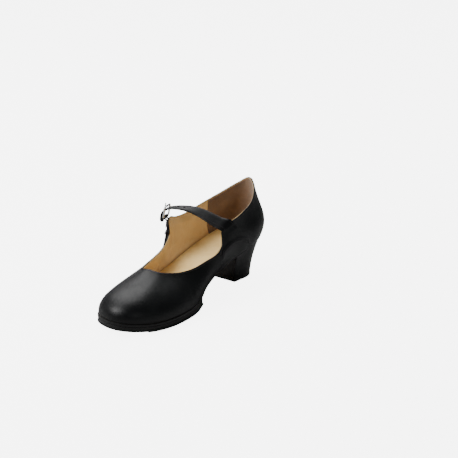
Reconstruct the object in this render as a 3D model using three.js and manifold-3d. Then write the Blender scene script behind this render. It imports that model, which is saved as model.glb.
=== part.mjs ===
// A right-foot flamenco shoe with nailed toe and heel, an instep strap and a pin buckle.
// Millimetres, +Z up. While it is drawn, the toe tip is near y = 0 and the heel is at +y,
// +x is the inner (medial) side, and the ground is z = 0. The group is centred at the end.
import * as THREE from 'three';
import { mergeVertices } from 'three/addons/utils/BufferGeometryUtils.js';
import Module from 'manifold-3d';

// ---- driving dimensions ----
const LEATHER = 1.3;            // upper leather, skin to skin
const LINING = 0.9;
const LINING_AT = -2.2;         // inner face of the lining, from the outside of the last
const STIFFENER = [-1.1, -0.2]; // toe puff and heel counter, between leather and lining
const GAP = 0.3;                // air left between neighbouring pieces
const OUTSOLE = 2.6;
const RUBBER = 2.5;             // half sole and toe piece
const SOLE_EDGE = 1.9;          // how far the forefoot sole stands out past the upper
const TOE_PIECE_END = 27;
const HALF_SOLE_END = 122.5;
const PLATFORM_END = 119.5;
const NAIL_PITCH = 2.8;
const NAIL_HEAD = 0.5;          // height of a head below its plate
const NAIL_PLATE = 0.35;        // the shanks under the heads, drawn as one thin plate
const LIFT = 4.2;               // leather top lift of the heel
const HEEL_BREAST = { seat: 191, ground: 198.5 };
const HEEL_BACK = { seat: 244.2, ground: 237 };
const HEEL_HALF = { seat: 25.2, ground: 17.2 };
const STRAP_THICK = 1.8;
const STRAP_WIDTH = { root: 13.2, end: 11.4 };
const RING = { wire: 0.95, length: 13.6, width: 17.4, corner: 2.2 };
const PRONG_WIRE = 0.65;
const TAB = { thick: 0.6, width: 7.6 };

// ---- the last: stations round the shoe, toe, inner side, heel, outer side ----
// feather: where the upper meets the sole. top: the edge of the opening.
// lean, roll: slope of the wall at its foot (outwards) and at its top (inwards), degrees.
// low, high: how far those slopes reach.
const STATIONS = [
  { feather: [13, 2],       top: [2, 73.5, 46],       lean: 8,  roll: 66, low: 24, high: 26 },
  { feather: [30, 9.5],     top: [11, 76, 44.5],      lean: 9,  roll: 66, low: 24, high: 24 },
  { feather: [40, 31],      top: [17.5, 86, 42.5],    lean: 11, roll: 58, low: 20, high: 20 },
  { feather: [44.3, 62],    top: [23, 99, 41.5],      lean: 12, roll: 46, low: 16, high: 14 },
  { feather: [42, 92],      top: [27, 115, 42.8],     lean: 10, roll: 26, low: 12, high: 12 },
  { feather: [36, 115],     top: [29.3, 132, 46.5],   lean: 12, roll: 10, low: 12, high: 10 },
  { feather: [30, 134],     top: [31, 146, 50],       lean: 20, roll: 2,  low: 12, high: 10 },
  { feather: [27.3, 150],   top: [30.8, 155, 57],     lean: 24, roll: 8,  low: 16, high: 14 },
  { feather: [26.3, 160],   top: [28.5, 158, 67],     lean: 24, roll: 16, low: 20, high: 16 },
  { feather: [26, 170],     top: [27, 165.5, 76],     lean: 22, roll: 18, low: 22, high: 18 },
  { feather: [26, 183],     top: [27.4, 175.5, 78.3], lean: 20, roll: 14, low: 22, high: 16 },
  { feather: [26.4, 201],   top: [25.5, 192, 80.3],   lean: 20, roll: 12, low: 22, high: 18 },
  { feather: [25.2, 222],   top: [20, 218.5, 86.5],   lean: 23, roll: 16, low: 24, high: 22 },
  { feather: [17.8, 238],   top: [11, 235.5, 96],     lean: 22, roll: 16, low: 26, high: 24 },
  { feather: [0, 245.3],    top: [0, 241.8, 104],     lean: 15, roll: 12, low: 24, high: 26 },
  { feather: [-17.8, 238],  top: [-11, 235.5, 97],    lean: 20, roll: 16, low: 26, high: 24 },
  { feather: [-25.4, 222],  top: [-20.5, 219, 88],    lean: 21, roll: 16, low: 24, high: 22 },
  { feather: [-26.8, 201],  top: [-27, 196, 80.5],    lean: 18, roll: 12, low: 22, high: 18 },
  { feather: [-26.6, 182],  top: [-29, 170, 75.5],    lean: 20, roll: 10, low: 20, high: 16 },
  { feather: [-26.8, 165],  top: [-30.2, 156, 75],    lean: 20, roll: 8,  low: 22, high: 16 },
  { feather: [-27.6, 151],  top: [-30.4, 147, 77],    lean: 20, roll: 8,  low: 22, high: 16 },
  { feather: [-29, 139],    top: [-29.2, 142.5, 73],  lean: 18, roll: 8,  low: 20, high: 16 },
  { feather: [-31, 127],    top: [-27.6, 142, 60],    lean: 16, roll: 6,  low: 16, high: 12 },
  { feather: [-34, 111],    top: [-25.6, 130, 48.5],  lean: 12, roll: 14, low: 12, high: 12 },
  { feather: [-35.6, 90],   top: [-22.3, 113, 44],    lean: 10, roll: 30, low: 14, high: 14 },
  { feather: [-33, 64],     top: [-17, 93.5, 42.5],   lean: 9,  roll: 50, low: 16, high: 16 },
  { feather: [-24.5, 34],   top: [-11, 80.5, 43],     lean: 8,  roll: 60, low: 18, high: 20 },
  { feather: [-10, 11],     top: [-5, 74.5, 44.5],    lean: 7,  roll: 66, low: 22, high: 24 },
];
const N = STATIONS.length;
const WALL_STEPS = 8;
const BACK = 14;                      // station of the centre back
const CORNER = { inner: 6, outer: 22 }; // stations where the opening turns up to the ears

// height of the feather and of the tread along the shoe, [y, z]
const FEATHER_Z = [[0, 15], [15, 12.6], [30, 10.6], [50, 9.2], [72, 8.8], [92, 9.2], [108, 11],
  [122, 15], [138, 20.8], [155, 27.3], [170, 32], [187, 36], [245, 46.5]];
const TREAD_Z = [[0, 6], [14, 4], [30, 1.8], [50, 0.4], [72, 0], [95, 0], [110, 0.5], [124, 2.2]];

// ---- small maths ----
const { sin, cos, PI, hypot, min, max, abs } = Math;
const rad = (degrees) => degrees * PI / 180;
const mix = (a, b, t) => a + (b - a) * t;
const clamp01 = (t) => min(1, max(0, t));
const range = (n) => Array.from({ length: n }, (_, i) => i);

/** Straight-line table look-up. */
function along(table, x) {
  if (x <= table[0][0]) return table[0][1];
  for (let i = 1; i < table.length; i++) {
    const [x0, y0] = table[i - 1], [x1, y1] = table[i];
    if (x <= x1) return mix(y0, y1, (x - x0) / (x1 - x0));
  }
  return table[table.length - 1][1];
}

/** Smooth table look-up: a cubic through the points with averaged slopes. */
function smooth(table, x) {
  const last = table.length - 1;
  const t0 = min(max(x, table[0][0]), table[last][0]);
  let i = 0;
  while (i < last - 1 && t0 > table[i + 1][0]) i++;
  const slope = (k) => {
    const a = table[max(0, k - 1)], b = table[min(last, k + 1)];
    return (b[1] - a[1]) / (b[0] - a[0]);
  };
  const [x0, y0] = table[i], [x1, y1] = table[i + 1], h = x1 - x0, t = (t0 - x0) / h;
  return (2 * t ** 3 - 3 * t ** 2 + 1) * y0 + (t ** 3 - 2 * t ** 2 + t) * h * slope(i)
    + (3 * t ** 2 - 2 * t ** 3) * y1 + (t ** 3 - t ** 2) * h * slope(i + 1);
}

/** Closed Catmull-Rom spline through one number per station, at station u. */
function ringSpline(read, u) {
  const i = Math.floor(u), t = u - i;
  const [a, b, c, d] = [-1, 0, 1, 2].map((k) => read(STATIONS[(((i + k) % N) + N) % N]));
  return 0.5 * (2 * b + (c - a) * t + (2 * a - 5 * b + 4 * c - d) * t * t
    + (3 * b - a - 3 * c + d) * t ** 3);
}

const featherZ = (y) => smooth(FEATHER_Z, y);
const treadZ = (y) => max(0, smooth(TREAD_Z, y));

function featherPoint(u, grow = 0) {
  const x = (w) => ringSpline((s) => s.feather[0], w);
  const y = (w) => ringSpline((s) => s.feather[1], w);
  const dx = x(u + 0.01) - x(u - 0.01), dy = y(u + 0.01) - y(u - 0.01), l = hypot(dx, dy);
  return { x: x(u) + grow * dy / l, y: y(u) - grow * dx / l, nx: dy / l, ny: -dx / l };
}

/** A point of the last's surface at station u, height v (0 feather, 1 top edge). */
function lastPoint(u, v) {
  const f = featherPoint(u);
  const foot = new THREE.Vector3(f.x, f.y, featherZ(f.y));
  const top = new THREE.Vector3(...[0, 1, 2].map((k) => ringSpline((s) => s.top[k], u)));
  const [lean, roll, low, high] = ['lean', 'roll', 'low', 'high']
    .map((key) => ringSpline((s) => s[key], u));
  const out = new THREE.Vector3(f.nx, f.ny, 0);
  const inwards = new THREE.Vector3(top.x - foot.x - 6 * f.nx, top.y - foot.y - 6 * f.ny, 0).normalize();
  const p1 = foot.clone().addScaledVector(out, low * sin(rad(lean)));
  p1.z += low * cos(rad(lean));
  const p2 = top.clone().addScaledVector(inwards, -high * sin(rad(roll)));
  p2.z -= high * cos(rad(roll));
  return new THREE.CubicBezierCurve3(foot, p1, p2, top).getPoint(v);
}

/** The same point moved out along the surface's normal. */
function skin(u, v, offset) {
  const e = 0.02, lo = max(0, v - e), hi = min(1, v + e);
  const du = lastPoint(u + e, v).sub(lastPoint(u - e, v));
  const dv = lastPoint(u, hi).sub(lastPoint(u, lo));
  const normal = du.cross(dv).normalize();
  normal.z *= clamp01(v / 0.08);   // the foot of the wall stays level with the feather
  return lastPoint(u, v).addScaledVector(normal.normalize(), offset);
}

// ---- solids ----
/** A closed mesh from a list of [x, y, z] and a list of triangles, turned to face outwards. */
function shell(points, faces) {
  const at = (i) => new THREE.Vector3(...points[i]);
  const volume = faces.reduce((sum, [a, b, c]) => sum + at(a).dot(at(b).cross(at(c))), 0);
  const index = faces.flatMap(([a, b, c]) => (volume < 0 ? [a, c, b] : [a, b, c]));
  const geometry = new THREE.BufferGeometry();
  geometry.setAttribute('position', new THREE.Float32BufferAttribute(points.flat(), 3));
  geometry.setIndex(index);
  return geometry;
}

/** A slab between two sheets of (rows + 1) x (columns + 1) points: sheet(i, j, side). */
function slab(rows, columns, sheet) {
  const points = [], faces = [], w = columns + 1, half = (rows + 1) * w;
  for (const side of [0, 1]) {
    for (let i = 0; i <= rows; i++) {
      for (let j = 0; j <= columns; j++) points.push([...sheet(i, j, side)]);
    }
  }
  for (let i = 0; i < rows; i++) {
    for (let j = 0; j < columns; j++) {
      const a = i * w + j, b = a + 1, c = a + w, d = c + 1;
      faces.push([a, b, c], [b, d, c]);
      faces.push([half + a, half + c, half + b], [half + b, half + c, half + d]);
    }
  }
  const edge = [
    ...range(columns).map((j) => j), ...range(rows).map((i) => i * w + columns),
    ...range(columns).map((j) => rows * w + columns - j), ...range(rows).map((i) => (rows - i) * w),
  ];
  edge.forEach((a, k) => {
    const b = edge[(k + 1) % edge.length];
    faces.push([a, half + a, b], [b, half + a, half + b]);
  });
  return shell(points, faces);
}

/** The ends of a span, and the multiples of step between them: layers share their creases. */
function knots(from, to, step) {
  const inside = range(Math.ceil((to - from) / step) + 1).map((i) => (Math.ceil(from / step) + i) * step)
    .filter((t) => t > from + step * 0.12 && t < to - step * 0.12);
  return [from, ...inside, to];
}

/** A piece of the upper: stations u0..u1, heights v0(u)..v1(u), between two offsets. */
function upperPiece({ u: [u0, u1], v: [v0, v1], inner, outer, step = 0.5 }) {
  const height = (limit, u) => (typeof limit === 'function' ? limit(u) : limit);
  const us = knots(u0, u1, step), level = typeof v0 !== 'function' && typeof v1 !== 'function';
  const vs = knots(level ? v0 : 0, level ? v1 : 1, 1 / WALL_STEPS);
  return slab(us.length - 1, vs.length - 1, (i, j, side) => {
    const u = us[i], v = level ? vs[j] : mix(height(v0, u), height(v1, u), vs[j]);
    const offset = side ? outer : inner;
    return skin(u, v, typeof offset === 'function' ? offset(v) : offset);
  });
}

/** Inner (+x) and outer (-x) edge of the sole outline at y. */
function outline(grow) {
  const STEPS = 560;
  const points = range(STEPS + 1).map((i) => {
    const u = i * N / STEPS;
    return featherPoint(u, grow(featherPoint(u).y));
  });
  const tip = points.reduce((best, p, i) => (p.y < points[best].y ? i : best), 0);
  const tail = points.reduce((best, p, i) => (p.y > points[best].y ? i : best), 0);
  const walk = (from, to, step) => {
    const side = [];
    for (let i = from; i !== to; i = (i + step + STEPS) % STEPS) side.push([points[i].y, points[i].x]);
    side.push([points[to].y, points[to].x]);
    return side;
  };
  const inner = walk(tip % STEPS, tail, 1), outer = walk(tip % STEPS, tail, -1);
  const first = points[tip].y, last = points[tail].y;
  return { at: (y) => [along(outer, y), along(inner, y)], first, last };
}

/** A sole layer from y0 to y1, between two height functions, inside an outline. */
function soleLayer({ edge, y: [y0, y1], top, bottom, rows, columns = 2, ends = [1, 0] }) {
  const from = max(y0, edge.first + 0.12), to = min(y1, edge.last - 0.12);
  return slab(rows, columns, (i, j, side) => {
    // rows crowd together where the outline closes round the toe or the heel
    let t = i / rows;
    if (ends[0] && ends[1]) t = (1 - cos(PI * t)) / 2;
    else if (ends[0]) t = 1 - cos(PI * t / 2);
    else if (ends[1]) t = sin(PI * t / 2);
    const y = mix(from, to, t), [x0, x1] = edge.at(y);
    return [mix(x0, x1, j / columns), y, (side ? top : bottom)(y)];
  });
}

/** A round wire along a list of points; closed when it is a loop. */
function wire(points, radius, { closed = false, sides = 6 } = {}) {
  const n = points.length, vertices = [], faces = [];
  const along3 = (i) => (closed
    ? points[(i + 1) % n].clone().sub(points[(i + n - 1) % n])
    : points[min(i + 1, n - 1)].clone().sub(points[max(i - 1, 0)])).normalize();
  let side = new THREE.Vector3(0.3, 1, 0.2).cross(along3(0)).normalize();
  for (let i = 0; i < n; i++) {
    const t = along3(i);
    side = side.clone().addScaledVector(t, -side.dot(t)).normalize();
    const other = t.clone().cross(side);
    for (let k = 0; k < sides; k++) {
      const a = 2 * PI * k / sides;
      const p = points[i].clone().addScaledVector(side, radius * cos(a));
      vertices.push([...p.addScaledVector(other, radius * sin(a))]);
    }
  }
  const ring = (i, k) => (i % n) * sides + (k % sides);
  for (let i = 0; i < (closed ? n : n - 1); i++) {
    for (let k = 0; k < sides; k++) {
      faces.push([ring(i, k), ring(i, k + 1), ring(i + 1, k)]);
      faces.push([ring(i, k + 1), ring(i + 1, k + 1), ring(i + 1, k)]);
    }
  }
  if (!closed) {
    for (let k = 1; k < sides - 1; k++) {
      const end = (n - 1) * sides;
      faces.push([0, k + 1, k], [end, end + k, end + k + 1]);
    }
  }
  return shell(vertices, faces);
}

const wasm = await Module();
wasm.setup();

function toManifold(geometry) {
  const g = geometry.clone();
  g.deleteAttribute('normal');
  g.deleteAttribute('uv');
  const merged = mergeVertices(g, 1e-5);
  return new wasm.Manifold(new wasm.Mesh({
    numProp: 3,
    vertProperties: merged.attributes.position.array,
    triVerts: new Uint32Array(merged.index.array),
  }));
}

function fromManifold(solid) {
  const mesh = solid.getMesh(), geometry = new THREE.BufferGeometry();
  geometry.setAttribute('position', new THREE.Float32BufferAttribute(mesh.vertProperties, 3));
  geometry.setIndex([...mesh.triVerts]);
  return geometry;
}

const cut = (geometry, ...tools) => fromManifold(
  tools.reduce((solid, tool) => solid.subtract(toManifold(tool)), toManifold(geometry)));

// ---- the scene graph ----
const shoe = new THREE.Group();
shoe.name = 'flamenco_shoe';
const paint = (color, roughness, metalness = 0) => ({ color, roughness, metalness });
const FINISH = {
  black_leather: paint(0x17171a, 0.35),
  lining_leather: paint(0xc9a56c, 0.7),
  suede: paint(0x5a4233, 0.95),
  board: paint(0xb89f7a, 0.9),
  cork: paint(0x9c7448, 0.95),
  steel: paint(0xa9adb2, 0.4, 0.9),
  rubber: paint(0xc08a4e, 0.75),
  tan_leather: paint(0xdcba85, 0.6),
  waist_leather: paint(0xcdb48c, 0.6),
  wood: paint(0xc9a878, 0.7),
  nail_steel: paint(0xb9bcbf, 0.35, 1),
  nickel: paint(0xd0d2d4, 0.25, 1),
};

function add(name, geometry, finish) {
  const flat = geometry.index ? geometry.toNonIndexed() : geometry;
  const mesh = new THREE.Mesh(mergeVertices(flat, 1e-5), new THREE.MeshStandardMaterial(FINISH[finish]));
  mesh.geometry.computeVertexNormals();
  mesh.name = name;
  shoe.add(mesh);
}

// ---- upper ----
// The seam between vamp and quarters drops from each corner of the opening and runs
// back along the side to the heel seat: its height, by stations past the corner.
const SEAM = [[0, 1], [0.5, 0.86], [1, 0.7], [2, 0.56], [3, 0.47], [4, 0.4], [4.6, 0.33], [5.1, 0.18],
  [5.35, 0.03]];
const seamHeight = (steps) => smooth(SEAM, steps);
const SEAM_END = 5.35;
const SEAM_GAP = 0.016;
const stepsInner = (u) => u - CORNER.inner, stepsOuter = (u) => CORNER.outer - u;
const vampTop = (u) => {
  if (u > CORNER.inner) return seamHeight(stepsInner(u)) - SEAM_GAP;
  if (u < CORNER.outer - N) return seamHeight(stepsOuter(u + N)) - SEAM_GAP;
  return 1;
};
const quarterFoot = (steps) => (steps >= SEAM_END ? 0 : seamHeight(steps) + SEAM_GAP);
add('vamp', upperPiece({
  u: [CORNER.outer - N - SEAM_END, CORNER.inner + SEAM_END], v: [0, vampTop],
  inner: 0, outer: LEATHER,
}), 'black_leather');
add('quarter_medial', upperPiece({
  u: [CORNER.inner + 0.12, BACK - 0.02], v: [(u) => quarterFoot(stepsInner(u)), 1],
  inner: 0, outer: LEATHER,
}), 'black_leather');
add('quarter_lateral', upperPiece({
  u: [BACK + 0.02, CORNER.outer - 0.12], v: [(u) => quarterFoot(stepsOuter(u)), 1],
  inner: 0, outer: LEATHER,
}), 'black_leather');
add('back_strip', upperPiece({
  u: [BACK - 0.22, BACK + 0.22], v: [0.03, 0.99], inner: LEATHER + 0.2, outer: LEATHER + 0.9,
  step: 0.22,
}), 'black_leather');

// lining: one thickness inside, coming up against the leather at the top edge
const liningInner = (v) => mix(LINING_AT, -LINING - 0.2, clamp01((v - 0.86) / 0.14));
const liningOuter = (v) => liningInner(v) + LINING;
const lining = (u) => upperPiece({ u, v: [0, 1], inner: liningInner, outer: liningOuter });
const GRIP = [11.3, 16.7];      // the suede part, round the heel
add('vamp_lining', lining([CORNER.outer - N + 0.05, CORNER.inner - 0.05]), 'lining_leather');
add('quarter_lining_medial', lining([CORNER.inner + 0.05, GRIP[0] - 0.02]), 'lining_leather');
add('quarter_lining_lateral', lining([GRIP[1] + 0.02, CORNER.outer - 0.05]), 'lining_leather');
add('heel_grip', lining([GRIP[0] + 0.02, GRIP[1] - 0.02]), 'suede');
add('toe_puff', upperPiece({
  u: [-2.5, 2.5], v: [0, 0.5], inner: STIFFENER[0], outer: STIFFENER[1],
}), 'board');
add('heel_counter', upperPiece({
  u: [11.5, 16.5], v: [0, 0.625], inner: STIFFENER[0], outer: STIFFENER[1],
}), 'board');

// ---- soles ----
const soleEdge = outline((y) => mix(SOLE_EDGE, -0.4, clamp01((y - 108) / 26)));
const insoleEdge = outline(() => -3.5);
const fillerEdge = outline(() => -7);
const ABOVE = { filler: [0.1, 1.4], board: [1.75, 3.4], sock: [3.65, 4.7] };
const over = (lift) => (y) => featherZ(y) + lift;
const outsoleTop = over(-GAP), outsoleBottom = over(-GAP - OUTSOLE);
const SCREW = { x: 0, y: 212, r: 2.1 };
const SEAT_NAILS = [[-13, 203], [13, 203], [-12, 226], [12, 226]];
const drill = (x, y, r, z0, z1) => new THREE.CylinderGeometry(r, r, z1 - z0, 8)
  .rotateX(PI / 2).translate(x, y, (z0 + z1) / 2);
const seatHoles = [drill(SCREW.x, SCREW.y, SCREW.r + GAP, 12, 44),
  ...SEAT_NAILS.map(([x, y]) => drill(x, y, 0.9 + GAP, 20, featherZ(y) + 1))];
const insoleLayer = ([low, high]) => soleLayer({
  edge: insoleEdge, y: [0, 245], top: over(high), bottom: over(low), rows: 30, ends: [1, 1],
});
add('insole_sock', insoleLayer(ABOVE.sock), 'lining_leather');
add('insole_board', insoleLayer(ABOVE.board), 'board');
add('cork_filler', soleLayer({
  edge: fillerEdge, y: [0, 118], top: over(ABOVE.filler[1]), bottom: over(ABOVE.filler[0]), rows: 14,
}), 'cork');
add('shank', soleLayer({
  edge: { at: () => [-7, 7], first: 0, last: 245 }, y: [121, 206], ends: [0, 0],
  top: over(ABOVE.filler[1] - 0.1), bottom: over(ABOVE.filler[0]), rows: 12,
}), 'steel');
add('outsole', cut(soleLayer({
  edge: soleEdge, y: [0, 245], top: outsoleTop, bottom: outsoleBottom, rows: 34, ends: [1, 1],
}), ...seatHoles), 'waist_leather');
add('platform', soleLayer({
  edge: soleEdge, y: [0, PLATFORM_END], top: (y) => outsoleBottom(y) - 0.2,
  bottom: (y) => treadZ(y) + RUBBER + 0.2, rows: 20,
}), 'black_leather');
add('half_sole', soleLayer({
  edge: soleEdge, y: [TOE_PIECE_END + 0.2, HALF_SOLE_END], top: (y) => treadZ(y) + RUBBER,
  bottom: treadZ, rows: 20, ends: [0, 0],
}), 'rubber');
const nailedBottom = (y) => treadZ(y) + NAIL_HEAD + NAIL_PLATE + 0.05;
add('toe_piece', soleLayer({
  edge: soleEdge, y: [0, TOE_PIECE_END], top: (y) => treadZ(y) + RUBBER, bottom: nailedBottom, rows: 10,
}), 'tan_leather');

/** Square cells that share one thin plate, each with a square nail head under it. */
function nailField(cells, centre, ground) {
  const points = [], faces = [], known = new Map(), here = new Set(cells.map(String));
  const corner = (i, j, z) => {
    const key = [i, j, z].join();
    if (!known.has(key)) {
      const y = centre[1] + (j - 0.5) * NAIL_PITCH;
      known.set(key, points.length);
      points.push([centre[0] + (i - 0.5) * NAIL_PITCH, y, ground(y) + z]);
    }
    return known.get(key);
  };
  const quad = (a, b, c, d) => faces.push([a, b, c], [a, c, d]);
  const low = NAIL_HEAD, top = NAIL_HEAD + NAIL_PLATE;
  for (const [i, j] of cells) {
    const square = [[i, j], [i + 1, j], [i + 1, j + 1], [i, j + 1]];
    const up = square.map(([a, b]) => corner(a, b, top));
    const down = square.map(([a, b]) => corner(a, b, low));
    quad(up[0], up[1], up[2], up[3]);
    const x = centre[0] + i * NAIL_PITCH, y = centre[1] + j * NAIL_PITCH, r = NAIL_PITCH * 0.36;
    const head = [[-r, -r], [r, -r], [r, r], [-r, r]]
      .map(([a, b]) => points.push([x + a, y + b, ground(y + b)]) - 1);
    quad(head[3], head[2], head[1], head[0]);
    [[0, -1], [1, 0], [0, 1], [-1, 0]].forEach(([di, dj], k) => {
      const n = (k + 1) % 4;
      quad(down[n], down[k], head[k], head[n]);
      if (!here.has(String([i + di, j + dj]))) quad(up[n], up[k], down[k], down[n]);
    });
  }
  return shell(points, faces);
}

const cellsWhere = (reach, keep) => range(2 * reach + 1).flatMap((i) => range(2 * reach + 1)
  .map((j) => [i - reach, j - reach])).filter(([i, j]) => keep(i * NAIL_PITCH, j * NAIL_PITCH));
const TOE_NAILS = { x: 8.5, y: 23.2, margin: 6.2 };
add('toe_nails', nailField(cellsWhere(10, (dx, dy) => {
  const y = TOE_NAILS.y + dy - NAIL_PITCH / 2;
  if (dy > 0 || y < soleEdge.first + TOE_NAILS.margin - 1.4) return false;
  const [x0, x1] = soleEdge.at(y);
  return TOE_NAILS.x + dx > x0 + TOE_NAILS.margin && TOE_NAILS.x + dx < x1 - TOE_NAILS.margin;
}), [TOE_NAILS.x, TOE_NAILS.y], treadZ), 'nail_steel');

// ---- heel ----
/** Points round the heel at level k (0 at the ground, 1 at the seat), drawn in by inset. */
function heelRing(k, inset, count = 20) {
  const waist = -1.2 * sin(PI * k);      // the sides curve in between lift and seat
  const w = mix(HEEL_HALF.ground, HEEL_HALF.seat, k) + waist - inset;
  const y0 = mix(HEEL_BREAST.ground, HEEL_BREAST.seat, k) + inset;
  const y1 = mix(HEEL_BACK.ground, HEEL_BACK.seat, k) + waist * 0.8 - inset;
  const ym = mix(y0, y1, 0.42);
  const back = range(count - 1).map((i) => {
    const a = PI * i / (count - 2), c = cos(a), s = sin(a);
    return [w * Math.sign(c) * abs(c) ** 0.86, ym + (y1 - ym) * s ** 0.86];
  });
  return [[w * 0.985, y0], ...back, [-w * 0.985, y0]];
}

/** Lofts rings of points upwards between two height functions of (k, y). */
function loft(rings, levels, heightAt) {
  const points = [], faces = [], n = rings(0).length;
  levels.forEach((k) => rings(k).forEach(([x, y]) => points.push([x, y, heightAt(k, y)])));
  const at = (i, j) => i * n + (j % n);
  for (let i = 0; i < levels.length - 1; i++) {
    for (let j = 0; j < n; j++) {
      faces.push([at(i, j), at(i, j + 1), at(i + 1, j)]);
      faces.push([at(i, j + 1), at(i + 1, j + 1), at(i + 1, j)]);
    }
  }
  const cap = (i) => THREE.ShapeUtils.triangulateShape(
    rings(levels[i]).map(([x, y]) => new THREE.Vector2(x, y)), []);
  cap(0).forEach(([a, b, c]) => faces.push([at(0, a), at(0, c), at(0, b)]));
  const last = levels.length - 1;
  cap(last).forEach(([a, b, c]) => faces.push([at(last, a), at(last, b), at(last, c)]));
  return shell(points, faces);
}

const HEEL_LEVELS = [0, 0.12, 0.3, 0.5, 0.7, 0.88, 1];   // 0 on the top lift, 1 at the seat
const COVER = 1.0;
const liftTop = LIFT + NAIL_HEAD + NAIL_PLATE;
const heelZ = (k, y) => mix(liftTop + 0.2, outsoleBottom(y) - 0.2, k);
add('heel_block', cut(loft((k) => heelRing(k, COVER + 0.2), HEEL_LEVELS, heelZ), ...seatHoles), 'wood');
/** A strip of the heel's skin: ring points first..last, at every level. */
const heelSkin = (first, last, outer, inner) => slab(HEEL_LEVELS.length - 1, last - first, (i, j, side) => {
  const k = HEEL_LEVELS[i], [x, y] = heelRing(k, side ? outer : inner)[first + j];
  return [x, y, heelZ(k, y)];
});
add('heel_cover', heelSkin(0, 20, 0, COVER), 'black_leather');
const breastEdge = (k, inset) => [heelRing(k, 0)[0][0] - inset, heelRing(k, 0)[0][1] - 0.2];
add('heel_breast', slab(HEEL_LEVELS.length - 1, 2, (i, j, side) => {
  const [w, y] = breastEdge(HEEL_LEVELS[i], 0.5), depth = side ? 0.8 : 0;
  return [mix(-w, w, j / 2), y - depth, heelZ(HEEL_LEVELS[i], y)];
}), 'suede');
const liftFoot = NAIL_HEAD + NAIL_PLATE + 0.05;
add('top_lift', loft(() => heelRing(0, 0), [0, 1], (k) => (k ? liftTop : liftFoot)), 'tan_leather');
const HEEL_NAILS = { x: 0, y: 217, band: 7.2, margin: 2.1 };
add('heel_nails', nailField(cellsWhere(7, (dx, dy) => {
  const y = HEEL_NAILS.y + dy, inside = (margin) => {
    const ring = heelRing(0, margin);
    const w = max(...ring.filter(([, b]) => b >= y - 0.01).map(([a]) => a), 0);
    return abs(dx) <= w && y <= HEEL_BACK.ground - margin && y > HEEL_BREAST.ground + 2;
  };
  return inside(HEEL_NAILS.margin) && !inside(HEEL_NAILS.margin + HEEL_NAILS.band)
    && !(y < HEEL_BREAST.ground + 9 && abs(dx) < 8);
}), [HEEL_NAILS.x, HEEL_NAILS.y], () => 0), 'nail_steel');
add('heel_screw', drill(SCREW.x, SCREW.y, SCREW.r, 14, featherZ(SCREW.y) + 1.2), 'steel');
SEAT_NAILS.forEach(([x, y], i) => {
  add(`seat_nail_${i + 1}`, drill(x, y, 0.9, 22, featherZ(y) - 0.3), 'steel');
});

// ---- strap and buckle ----
const STRAP_PATH = [
  [27.2, 164.5, 75.4], [20, 161.5, 79.3], [10, 158.7, 83], [0, 156.6, 86], [-9, 154, 87.8],
  [-17.5, 150.4, 88.4], [-25, 147, 88], [-31.6, 144.6, 86.2], [-36.2, 143.1, 82.4],
  [-37.9, 142.5, 77], [-37.6, 142.3, 71],
].map((p) => new THREE.Vector3(...p));
const strapCurve = new THREE.CatmullRomCurve3(STRAP_PATH, false, 'catmullrom', 0.5);
const STRAP_SPLIT = 0.575;      // where the plain strap ends and the part in the buckle starts
const ROOT_AXIS = new THREE.Vector3(0.05, 0.9, 0.43).normalize();
const END_AXIS = new THREE.Vector3(-0.3, 0.95, -0.03).normalize();
/** A ribbon along the strap: s along it, across -1..1, side 0 under or 1 over. */
function strapPoint(s, across, side, trim = 1) {
  const p = strapCurve.getPoint(s), t = strapCurve.getTangent(s);
  const wide = ROOT_AXIS.clone().lerp(END_AXIS, clamp01((s - 0.3) / 0.32));
  wide.addScaledVector(t, -wide.dot(t)).normalize();
  const up = wide.clone().cross(t).normalize();
  if (up.z < 0) up.negate();
  const half = mix(STRAP_WIDTH.root, STRAP_WIDTH.end, clamp01(s * 2.5)) / 2 * trim;
  return p.addScaledVector(wide, across * half).addScaledVector(up, (side - 0.5) * STRAP_THICK);
}
add('strap', slab(20, 2, (i, j, side) => strapPoint(mix(0.012, STRAP_SPLIT, i / 20), j - 1, side)),
  'black_leather');

const barCentre = new THREE.Vector3(-34.6, 144.3, 77);
const barAxis = END_AXIS.clone();
const ringUp = new THREE.Vector3(0.12, 0, 0.99);
ringUp.addScaledVector(barAxis, -ringUp.dot(barAxis)).normalize();
const ringPlane = (a, b) => barCentre.clone().addScaledVector(barAxis, a).addScaledVector(ringUp, b);
const ringCorners = [[1, 0], [1, 1], [-1, 1], [-1, 0]];
const ringPath = ringCorners.flatMap(([sx, sy], c) => range(4).map((i) => {
  // a quarter turn at each corner of a rounded rectangle
  const a = PI / 2 * (c - 1) + PI / 2 * i / 3, r = RING.corner;
  return ringPlane(sx * (RING.width / 2 - RING.wire - r) + r * cos(a),
    (sy ? RING.length - 2 * RING.wire - r : r) + r * sin(a));
}));
add('buckle_ring', wire(ringPath, RING.wire, { closed: true }), 'nickel');

const prongOut = ringUp.clone().cross(barAxis).normalize();
if (prongOut.x > 0) prongOut.negate();
const prongPoint = (out, up) => barCentre.clone().addScaledVector(prongOut, out).addScaledVector(ringUp, up);
const buckleFrame = new THREE.Matrix4().makeBasis(barAxis, ringUp, barAxis.clone().cross(ringUp));
const EYE = RING.wire + PRONG_WIRE + 0.2;
const prongPath = [
  ...range(9).map((i) => {
    const a = rad(-200 + 25 * i);
    return prongPoint(EYE * cos(a), EYE * sin(a));
  }),
  prongPoint(EYE + 0.15, 2), prongPoint(EYE + 0.4, RING.length * 0.5),
  prongPoint(EYE + 0.35, RING.length + 0.5),
];
add('buckle_prong', wire(prongPath, PRONG_WIRE), 'nickel');

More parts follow.
